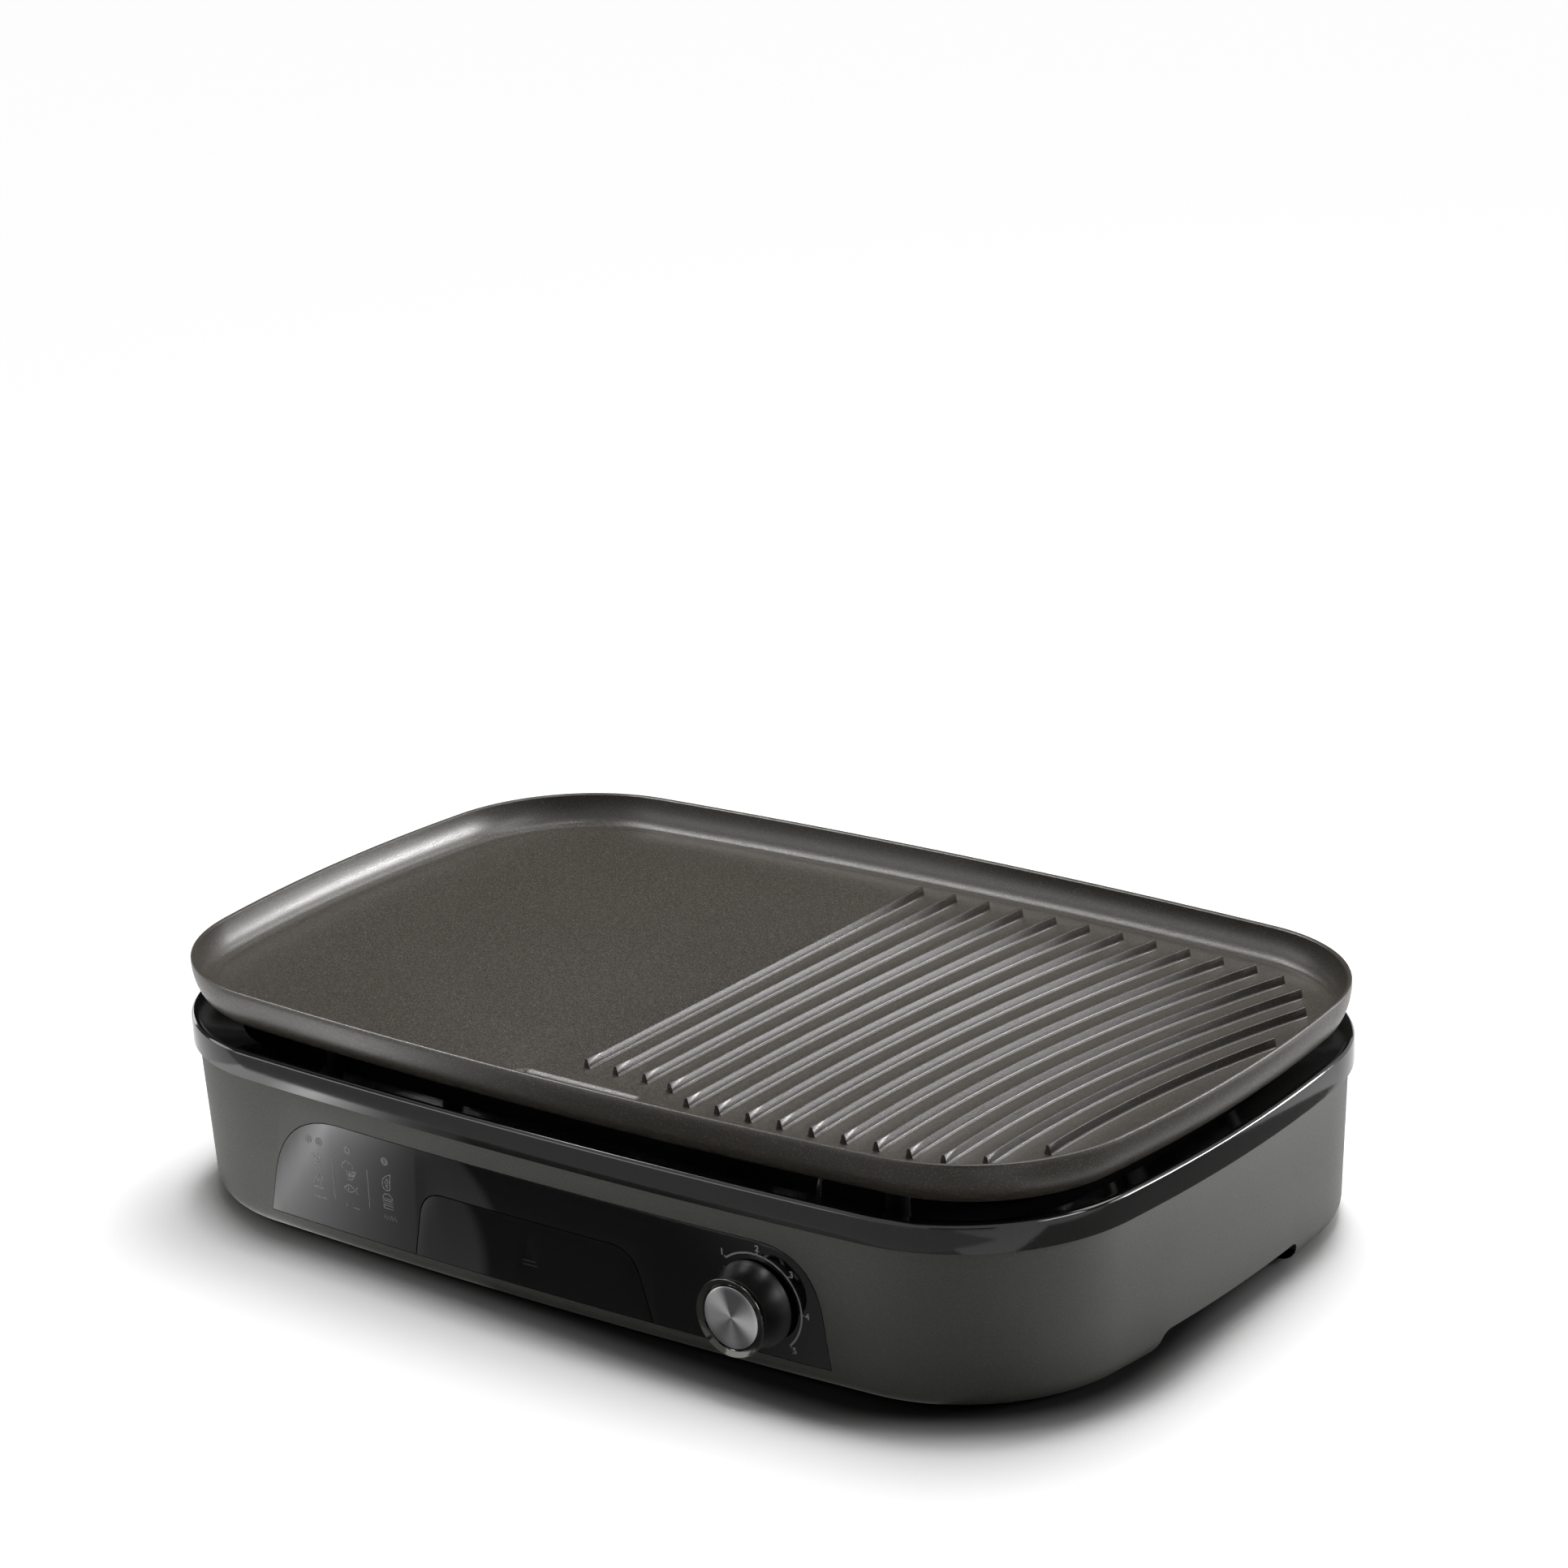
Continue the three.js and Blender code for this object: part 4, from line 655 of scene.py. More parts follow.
class GRILL_OT_plate(bpy.types.Operator):
    """Cast plate: dished pan with a flared wall, ribs and a drain slot"""

    bl_idname = "grill.plate"
    bl_label = "Grill plate"

    def execute(self, context):
        settings = context.scene.grill_plate
        coating = coating_finish(settings.coating)
        self.dish(coating)
        self.ribs(coating, settings)
        return {"FINISHED"}

    def dish(self, coating):
        bm = bmesh.new()
        profile = []
        for i in range(15, -1, -1):
            angle = math.pi / 2 * i / 15
            height = (PLATE_LIP - PLATE_UNDER) * math.sin(angle)
            profile.append((12 * (1 - math.cos(angle)), PLATE_LIP - height))
        profile += [(0.12, 107.75), (0.4, 107.95), (0.8, PLATE_TOP), (1.3, 107.97), (1.7, 107.75)]
        for i in range(13):
            angle = math.radians(76) * i / 12
            profile.append((1.95 + 6.6 * (1 - math.cos(angle)), PLATE_LIP - 14.4 * math.sin(angle)))
        profile += [(8.9, DISH_FLOOR + 0.12), (9.6, DISH_FLOOR)]
        spin_round(bm, PLATE_PLAN, profile)
        slot = [
            (3.2, PLATE_UNDER), (3.2, 90.6), (3.5, 91.4), (4.6, 92.4), (5.4, 92.9),
            (5.9, DISH_FLOOR),
        ]
        stadium_loop(bm, slot, DRAIN_X, DRAIN_Y, DRAIN_LENGTH)
        for z in (PLATE_UNDER, DISH_FLOOR):
            bmesh.ops.triangle_fill(bm, edges=rim_edges(bm, z), use_beauty=True, use_dissolve=False)
        bmesh.ops.recalc_face_normals(bm, faces=bm.faces)
        fix(finish_mesh(bm, "plate_dish", coating), "plate", ("grill_plate",))

    def ribs(self, coating, settings):
        height = settings.rib_height / MM
        half = [
            (0.52, height), (0.72, height - 0.14), (1.42, 1.1), (1.52, 0.65), (1.85, 0.22),
            (2.3, 0.04), (2.3, -0.4),
        ]
        profile = [(-u, z) for u, z in reversed(half)] + half
        bm = bmesh.new()
        for index in range(settings.rib_count):
            front, back = self.rib_span(index)
            steps = 22
            places = [front + (back - front) * i / steps for i in range(steps + 1)]
            x, lean = self.rib_x(index, front), self.rib_lean(index, front)
            section = [(x + u, front, DISH_FLOOR + z) for u, z in profile]
            verts, edges = chain(bm, section, closed=True)
            spun = Matrix.Rotation(-lean, 3, "Z")
            bmesh.ops.rotate(bm, verts=verts, cent=(x, front, 0), matrix=spun)
            ends = [edges]
            for here, there in zip(places, places[1:]):
                made = bmesh.ops.extrude_edge_only(bm, edges=edges)["geom"]
                verts, edges = only(made, VERT), only(made, EDGE)
                past, x = x, self.rib_x(index, there)
                bmesh.ops.translate(bm, verts=verts, vec=(x - past, there - here, 0))
                before, lean = lean, self.rib_lean(index, there)
                spun = Matrix.Rotation(before - lean, 3, "Z")
                bmesh.ops.rotate(bm, verts=verts, cent=(x, there, 0), matrix=spun)
            ends.append(edges)
            for rim in ends:
                bmesh.ops.edgeloop_fill(bm, edges=rim)
        bmesh.ops.recalc_face_normals(bm, faces=bm.faces)
        piece = finish_mesh(bm, "plate_ribs", coating)
        soften(piece, 0.22, 2, 50, 40)
        fix(piece, "plate", ("grill_plate",))

    def rib_x(self, index, y):
        return RIB_START + index * (RIB_PITCH + (y - FAN_FROM) ** 2 / FAN_SPREAD)

    def rib_lean(self, index, y):
        return math.atan(index * 2 * (y - FAN_FROM) / FAN_SPREAD)

    def inside(self, x, y):
        bow, end, centre, end_angle, bow_angle = corner_of(PLATE_PLAN)
        point = Vector((abs(x), abs(y)))
        off = point - centre
        angle = math.atan2(off.y, off.x)
        if end_angle < angle < bow_angle:
            return PLATE_PLAN["corner"] - off.length
        from_bow, from_end = (point - bow).length, (point - end).length
        return min(PLATE_PLAN["bow"] - from_bow, PLATE_PLAN["end"] - from_end)

    def rib_reach(self, index, toward, margin):
        near, far = 0.0, toward * PLATE_PLAN["b"]
        for _ in range(30):
            middle = (near + far) / 2
            if self.inside(self.rib_x(index, middle), middle) > margin:
                near = middle
            else:
                far = middle
        return near

    def rib_span(self, index):
        back = self.rib_reach(index, 1, 19.8)
        front = self.rib_reach(index, -1, 33.7)
        beside = self.rib_x(index, front) - 29.5
        if beside < RIB_PITCH:
            clear = 15.5 * min(1.0, max(0.0, 1 - beside / 40))
            front = max(front, DRAIN_Y + max(clear, 7.75) + 2.5)
        return front, back


class GRILL_OT_housing(bpy.types.Operator):
    """Moulded housing with its panel pocket, tray bay, skirts and trim ring"""

    bl_idname = "grill.housing"
    bl_label = "Housing"

    def execute(self, context):
        housing = housing_finish(context.scene.grill_body.housing)
        self.ring()
        self.shell(housing)
        return {"FINISHED"}

    def ring(self):
        bm = bmesh.new()
        profile = [
            (0, 71.3), (0, 82.1), (0.15, 82.6), (1.0, 83.42), (1.5, 83.5), (2.4, 83.5), (2.9, 83.3),
            (22, 76), (22, 70.6), (19.5, 70.6), (19.5, 74.75), (6, 79.8), (6, 71.3),
        ]
        spin_round(bm, BASE_PLAN, profile, closed=True)
        smoked = gloss_finish("smoked_trim", (0.012, 0.0125, 0.011), 0.09, 1.5)
        fix(finish_mesh(bm, "ring_trim", smoked), "base", ("trim_ring",))

    def volume(self, depth):
        """All that lies inside the housing's skin, as a tool."""
        bm = bmesh.new()
        loft_round(bm, BASE_PLAN, [skin_level(z, depth) for z in (*EDGE_LEVELS, BODY_TOP)])
        return finish_mesh(bm)

    def skirt_tool(self, side, grow):
        """The space under the raised skirt at one end, seen from that end."""
        front, back, run, lift = -45 - grow, 52 + grow, 19, 11 + grow
        low = BODY_BOTTOM - 0.1
        points = [(front - run, -8), (back, -8)]
        points += bezier([(back, lift - 4), (back, lift), (back - 4, lift)], 8)
        rise = [
            (front, lift), (front - 0.58 * run, lift), (front - 0.26 * run, low),
            (front - run, low),
        ]
        points += bezier(rise, 16)
        bm = bmesh.new()
        _, edges = chain(bm, [(221.5 - grow, y, z) for y, z in points], closed=True)
        bmesh.ops.edgeloop_fill(bm, edges=edges)
        made = bmesh.ops.extrude_face_region(bm, geom=list(bm.faces))
        bmesh.ops.translate(bm, verts=only(made["geom"], VERT), vec=(40, 0, 0))
        if side < 0:
            bmesh.ops.scale(bm, verts=bm.verts, vec=(-1, 1, 1))
        bmesh.ops.recalc_face_normals(bm, faces=bm.faces)
        return finish_mesh(bm)

    def block(self, low, high):
        bm = bmesh.new()
        bmesh.ops.create_cube(bm, size=1)
        bmesh.ops.scale(bm, verts=bm.verts, vec=[b - a for a, b in zip(low, high)])
        bmesh.ops.translate(bm, verts=bm.verts, vec=[(a + b) / 2 for a, b in zip(low, high)])
        return finish_mesh(bm)

    def shell(self, housing):
        bm = bmesh.new()
        lip_x, lip_y = (v + lip for v, lip in zip(skin_level(BODY_BOTTOM), (12, 5)))
        levels = [skin_level(z) for z in (*EDGE_LEVELS, BODY_TOP - 0.5)]
        levels += [(OVERHANG + inset, OVERHANG + inset, z) for inset, z in
                   ((0.15, BODY_TOP - 0.12), (0.5, BODY_TOP))]
        levels += [skin_level(BODY_TOP, WALL), (5.1, 5.1, 68.5), (14, 14, 68.5), (14, 14, 66)]
        levels += [skin_level(z, WALL) for z in (63.5, 10.1)]
        levels += [(lip_x + 12, lip_y + 12, z) for z in (7.6, 5.1)]
        levels += [(lip_x, lip_y, z) for z in (5.1, BODY_BOTTOM)]
        loft_round(bm, BASE_PLAN, levels, hoop=True)
        shell = finish_mesh(bm, "housing_shell", housing)
        tools = [slab(panel_outline(GAP), -CLEAR, PANEL_THICK + GAP)]
        tools += [self.skirt_tool(side, 0) for side in (-1, 1)]
        tools.append(rod(8.3, 150, 30, 140, 165))
        carve(shell, tools)

        backing = slab(panel_outline(2.2), 0.6, PANEL_THICK + GAP + 2.5, "panel_backing", housing)
        tools = [slab(panel_outline(GAP), -CLEAR, PANEL_THICK + GAP)]
        tools.append(rod(SHAFT_HOLE, DIAL_X / MM, DIAL_Z / MM))
        tools.append(self.block((TRAY_MIDDLE - 57.6, -170, 12.4), (TRAY_MIDDLE + 57.6, -120, 33.6)))
        carve(backing, tools)

        pieces = [shell, backing]
        for side, word in ((-1, "left"), (1, "right")):
            pocket = self.skirt_tool(side, 2)
            pocket.name = "skirt_pocket_" + word
            pocket.data.materials.append(housing)
            carve(pocket, [self.volume(0.05)], "INTERSECT")
            pieces.append(carve(pocket, [self.skirt_tool(side, 0)]))
        for piece in pieces:
            fix(piece, "base", ("body_shell",))


class GRILL_OT_panel(bpy.types.Operator):
    """Gloss front panel, tray cover and everything printed on them"""

    bl_idname = "grill.panel"
    bl_label = "Front panel"

    def execute(self, context):
        colours = context.scene.grill_body
        gloss = gloss_finish("gloss_black", colours.panel, 0.05, 1.45)
        bright = colours.print_colour
        dim = [c * 0.46 for c in bright]
        self.ink = plain_finish("print_ink", bright, 0.5, grain=0.06, depth=0.0)
        self.dim_ink = plain_finish("print_ink_dim", dim, 0.5, grain=0.06, depth=0.0)
        self.badge_ink = plain_finish("badge_figure", [0.012] * 3, 0.4, grain=0.05, depth=0.0)
        self.panel(gloss)
        self.tray_cover(gloss)
        self.pictograms()
        self.dial()
        return {"FINISHED"}

    def panel(self, gloss):
        piece = slab(panel_outline(), 0.0, PANEL_THICK, "panel_face", gloss)
        mouth = slab(tray_outline(0.5, CLEAR), -CLEAR, 8, step=10)
        carve(piece, [mouth, rod(SHAFT_HOLE, DIAL_X / MM, DIAL_Z / MM)])
        soften(piece, 0.35, 3, 60, 25)
        fix(piece, "base", ("front_panel",))

    def tray_cover(self, gloss):
        piece = slab(tray_outline(), 0.0, PANEL_THICK, "tray_cover", gloss)
        left, right, low, high = TRAY_MIDDLE - 4, TRAY_MIDDLE + 4, 22.2, 30.6
        arrow = rounded([(left, low), (right, low), (TRAY_MIDDLE, high)], [0.4] * 3, 3)
        bar = [(left, low - 1.9), (right, low - 1.9), (right, low - 1.2), (left, low - 1.2)]
        signs = (arrow, rounded(bar, [0.2] * 4, 3))
        carve(piece, [slab(outline, -4, 0.35, step=3) for outline in signs])
        soften(piece, 0.3, 3, 60, 25)
        fix(piece, "tray", ("tray_front",))

    def lay(self, name, mesh, ink):
        """Presses flat artwork, drawn in x and z, on the panel's skin."""
        mesh.name = name
        piece = wrap(mesh, name, ink)
        for vert in mesh.vertices:
            x, y, z = (c / MM for c in vert.co)
            proud = 0.06 if y < 0 else 0.03
            vert.co = Vector((x * MM, skin_y(x, z, -proud) * MM + MIDDLE, z * MM))
        return fix(piece, "base", ())

    def drawn(self, name, curve):
        """The mesh of a curve or text, without the object that drew it."""
        piece = show(name, curve)
        bpy.context.view_layer.update()
        mesh = drawn_mesh(piece)
        bpy.data.objects.remove(piece)
        return mesh

    def strokes(self, name, lines, width):
        """Round-ended strokes of one width, as flat artwork."""
        curve = bpy.data.curves.new(name, "CURVE")
        curve.dimensions = "3D"
        curve.bevel_depth = width / 2 * MM
        curve.bevel_resolution = 1
        curve.use_fill_caps = True
        for line in lines:
            spline = curve.splines.new("POLY")
            spline.points.add(len(line) - 1)
            for point, (x, z) in zip(spline.points, line):
                point.co = (x * MM, 0, z * MM, 1)
        return self.lay(name, self.drawn(name, curve), self.ink)

    def pictograms(self):
        """Three columns of signs, each drawn about its middle, then dividers and badges."""
        def arc(x, z, r, start, stop, steps=8, squash=1.0):
            turns = [math.radians(start + (stop - start) * i / steps) for i in range(steps + 1)]
            return [(x + r * math.cos(turn), z + r * squash * math.sin(turn)) for turn in turns]

        def belly(x, z, run, rise, swell, steps):
            shares = [i / steps for i in range(steps + 1)]
            return [(x + run * s, z + rise * s + swell * math.sin(math.pi * s)) for s in shares]

        def zigzag(x, z, pitch, rise, count):
            return [(x + pitch * i, z + rise * (i % 2)) for i in range(count)]

        def spoke(r, turn):
            return r * math.cos(turn), 41.6 + r * math.sin(turn)

        frozen = []
        for i in range(6):
            turn = math.radians(60 * i + 30)
            frozen.append([(0, 41.6), spoke(2.6, turn)])
            frozen += [[spoke(1.5, turn), spoke(2.5, turn + lean)] for lean in (-0.42, 0.42)]
        frozen += [[(x, z), (x, z - 0.9)] for x, z in ((-1.7, 38.0), (0.2, 37.2), (2.0, 37.9))]
        for x in (-1.7, 0.1, 1.9):
            frozen.append([(x + 0.75 * math.sin(t * 0.62), 34.2 - t * 0.56) for t in range(11)])
        frozen += [[(-2.6, z), (2.7, z)] for z in (27.9, 27.6)]
        frozen += [[(-3.6, z), (3.8, z)] for z in (22.9, 23.2)]

        cloud = arc(-2.3, 42.0, 1.5, 250, 110) + arc(-0.9, 43.4, 1.3, 150, 30)
        cloud += arc(0.9, 42.4, 1.5, 80, -40)
        fresh = [cloud]
        steam = ((-1.7, 0.9), (-0.5, 0.3), (0.5, -0.5))
        fresh += [[(x, 40.0), (x + lean, 37.6)] for x, lean in steam]
        leaf = belly(4.1, 40.4, -5.0, -4.4, 1.5, 8)
        fresh.append(leaf + belly(-0.9, 36.0, 5.0, 4.4, -1.6, 8)[1:])
        fresh += [[(0.3, 37.0), (3.0, 39.4)], [(1.0, 38.6), (1.4, 37.9), (2.4, 38.0)]]
        sides = belly(2.6, 31.6, -6.4, 0, 1.7, 10) + belly(-3.8, 31.6, 6.4, 0, -1.5, 10)[1:]
        fresh += [[(4.2, 33.2), *sides, (4.2, 29.9)], [(-1.4, 32.6), (-1.2, 31.6), (-1.5, 30.7)]]
        fresh += [zigzag(-3.7, 22.6, 0.72, 2.0, 7), [(1.4, 22.9), (4.3, 22.9)]]

        drop = [(3.0, 44.2), (0.6, 43.2), (-1.6, 41.2), (-2.3, 38.8)]
        drop += arc(0, 38.4, 2.2, 180, 350, 10)
        cooked = [drop + [(2.0, 40.2), (2.4, 41.8), (3.0, 44.2)]]
        cooked.append([(0.9, 42.0), (-1.0, 39.6), (0.9, 39.8), (0.9, 42.0)])
        cooked.append(arc(0.2, 38.2, 0.65, 0, 360, 10))
        cooked.append([*arc(0, 32.2, 2.8, 0, 180, 12, 0.85), (2.8, 32.2)])
        cooked += [[(x, z), (x + 0.1, z)] for x, z in ((-1.1, 33.3), (0.4, 33.8), (1.4, 33.0))]
        cooked += [zigzag(-2.9, 30.9, 0.72, 0.5, 9), [(-2.8, 30.0), (2.8, 30.0)]]
        cooked.append([(-2.8, 29.0), (-2.5, 27.6), (2.5, 27.6), (2.8, 29.0), (-2.8, 29.0)])
        cooked.append(zigzag(-3.5, 22.3, 0.92, 2.0, 9))

        marks = []
        for middle, lines in ((-128.0, frozen), (-108.6, fresh), (-87.0, cooked)):
            marks += [[(middle + x, z) for x, z in line] for line in lines]
        self.strokes("print_pictograms", marks, 0.42)
        lines = [[(-118.3, 43.5), (-119.0, 24.5)], [(-97.6, 43.5), (-98.3, 24.5)]]
        self.strokes("print_dividers", lines, 0.36)
        badges, height = (-131.4, -125.2, -108.3, -86.6), 49.9
        bm = bmesh.new()
        for x in badges:
            bmesh.ops.create_circle(
                bm, cap_ends=True, segments=28, radius=2.0,
                matrix=Matrix.Translation((x, -0.1, height)) @ Matrix.Rotation(math.pi / 2, 4, "X"),
            )
        bmesh.ops.scale(bm, verts=bm.verts, vec=(MM, MM, MM))
        self.lay("print_badges", mesh_from(bm, "print_badges"), self.dim_ink)
        for word, x in zip("1245", badges):
            self.figure("print_badge_" + word, word, x, height, 2.6, 0.05, self.badge_ink, 0.05)

    def figure(self, name, word, x, z, size, proud, ink, bold):
        """One figure, pressed on the panel's skin."""
        text = bpy.data.curves.new(name, "FONT")
        text.body = word
        text.size = size * MM
        text.align_x, text.align_y = "CENTER", "CENTER"
        text.offset = bold * MM
        mesh = self.drawn(name, text)
        for vert in mesh.vertices:
            px, pz = vert.co.x / MM + x, vert.co.y / MM + z
            vert.co = Vector((px * MM, skin_y(px, pz, -proud - 0.02) * MM + MIDDLE, pz * MM))
        return fix(wrap(mesh, name, ink), "base", ())

    def dial(self):
        cx, cz = DIAL_X / MM, DIAL_Z / MM

        def at(clock, radius):
            a = math.radians(clock)
            return cx + radius * math.sin(a), cz + radius * math.cos(a)

        stops = (SCALE_START, 5.5, 48, 91.5, 136.5)
        sweep = [at(SCALE_START + 175 * i / 60, SCALE_RADIUS) for i in range(61)]
        self.strokes("print_scale", [sweep], 0.95)
        self.strokes("print_ticks", [[at(s, SCALE_RADIUS), at(s, 22.9)] for s in stops], 0.7)
        self.strokes("print_dots", [[at(s, 19.6), at(s + 0.4, 19.6)] for s in (-49.6, -60.6)], 0.7)
        for word, stop in zip("12345", stops):
            self.figure("print_figure_" + word, word, *at(stop, 24.6), 4.0, 0.03, self.ink, 0.12)


class GRILL_OT_knob(bpy.types.Operator):
    """Control knob: satin body, flared rim and spun cap"""

    bl_idname = "grill.knob"
    bl_label = "Knob"

    def execute(self, context):
        front, rear = (knob_low.y - MIDDLE) / MM, (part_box("knob_body")[1].y - MIDDLE) / MM
        satin = plain_finish(
            "knob_satin", (0.006, 0.0055, 0.005), 0.32, grain=0.1, scale=1400, depth=0.006,
        )
        start = ((0, 3.3), (15.4, 3.3), (15.7, 3.5), (15.8, 5.5), (16.15, 8.5), (16.95, 12))
        skirt = [(r, front + y) for r, y in start]
        foot = ((18.1, 1.6), (18.75, 0.6), (18.9, 0.15), (18.9, 0), (17.2, 0))
        skirt += [(r, rear - y) for r, y in foot]
        skirt += [(14.2, front + 9), (4.9, front + 9), (4.9, rear), (3.3, rear), (3.3, rear - 11)]
        skirt.append((0, rear - 11))
        fix(revolve("knob_barrel", satin, skirt), "knob", ("knob_body",))

        chrome = plain_finish(
            "dark_chrome", (0.055, 0.054, 0.05), 0.12, 1.0, grain=0.08, scale=1500, depth=0.004,
        )
        rim = (
            (13.9, 3), (13.9, 1.0), (14.02, 0.86), (14.3, 0.86), (14.42, 1.0), (15.6, 0.62),
            (16.35, 0.12), (16.6, 0), (16.85, 0.08), (17.0, 0.4), (16.97, 0.8), (16.4, 1.9),
            (15.7, 3), (13.9, 3),
        )
        piece = revolve("knob_collar", chrome, [(r, front + y) for r, y in rim], 144)
        bm = bmesh.new()
        bmesh.ops.create_cube(bm, size=1)
        bmesh.ops.scale(bm, verts=bm.verts, vec=(1.5, 1.6, 4.4))
        bmesh.ops.translate(bm, verts=bm.verts, vec=(0, front, 16.4))
        clock = Matrix.Rotation(math.radians(224.5), 3, "Y")
        bmesh.ops.rotate(bm, verts=bm.verts, cent=(0, 0, 0), matrix=clock)
        bmesh.ops.translate(bm, verts=bm.verts, vec=(DIAL_X / MM, 0, DIAL_Z / MM))
        carve(piece, [finish_mesh(bm)])
        fix(piece, "knob", ("knob_rim",))

        cap = (
            (0, 1.05), (6, 1.0), (11, 0.88), (12.9, 0.8), (13.3, 0.92), (13.5, 1.3),
            (13.5, 2.4), (0, 2.4),
        )
        piece = revolve("knob_disc", spun_and_painted_highlight_finish(), [(r, front + y) for r, y in cap], 144)
        fix(piece, "knob", ("knob_cap",))
        return {"FINISHED"}


class GRILL_OT_inner(bpy.types.Operator):
    """What lies in the well and under the housing"""

    bl_idname = "grill.inner"
    bl_label = "Inner pieces"

    def execute(self, context):
        enamel = plain_finish(
            "black_enamel", (0.004, 0.004, 0.004), 0.65, grain=0.2, scale=600, ior=1.3,
        )
        bright = plain_finish("bright_sheet", (0.62, 0.62, 0.63), 0.22, 1.0, grain=0.05, scale=300)
        sheath = plain_finish(
            "element_sheath", (0.10, 0.095, 0.09), 0.42, 0.8, grain=0.3, scale=500,
        )
        zinc = plain_finish("zinc_sheet", (0.55, 0.56, 0.57), 0.32, 1.0, grain=0.12, scale=220)
        ceramic = plain_finish("ceramic", (0.74, 0.71, 0.64), 0.55, grain=0.05, scale=900)
        cover = plain_finish("cover_black", (0.016, 0.016, 0.016), 0.6, grain=0.25, scale=1100)
        rubber = plain_finish("rubber_black", (0.012, 0.012, 0.012), 0.8, grain=0.3, scale=1500)
        switch = plain_finish("switch_moulding", (0.24, 0.24, 0.22), 0.5, grain=0.08)
        tub = plain_finish("tray_moulding", (0.014, 0.014, 0.014), 0.35, grain=0.2, scale=800)
        wires = {
            "wire_live": plain_finish("wire_brown", (0.10, 0.05, 0.025), 0.5, grain=0.1),
            "wire_switched": plain_finish("wire_red", (0.30, 0.02, 0.015), 0.5, grain=0.1),
            "wire_neutral": plain_finish("wire_blue", (0.02, 0.06, 0.25), 0.5, grain=0.1),
        }
        record = frame["record"]
        slots = {row["node"]: row["material_slot"] for row in record["subparts"]}
        bodies = record["behaviour"]["bodies"]
        body_of = {node: body for body, nodes in bodies.items() for node in nodes}
        look = {
            "liner": enamel, "bright_steel": bright, "element_steel": sheath, "zinc_steel": zinc,
            "ceramic_white": ceramic, "cover_black": cover, "rubber_black": rubber,
            "switch_grey": switch, "tray_black": tub, "spun_steel": sheath,
        }
        made = ("body_shell", "trim_ring", "front_panel", "grill_plate", "tray_front",
                "knob_body", "knob_rim", "knob_cap")
        tubular = ("heating_element", "capillary_tube", *wires)
        for node in sorted(slots):
            if node in made:
                continue
            material = wires.get(node) or look[slots[node]]
            refined(node, material, body_of[node], node in tubular)
        return {"FINISHED"}


def aim(piece, place, target, axis):
    """Stands a lamp or card at its place, with an axis towards its target."""
    piece.location = place
    piece.rotation_mode = "QUATERNION"
    piece.rotation_quaternion = (Vector(target) - Vector(place)).to_track_quat(axis, "Y")


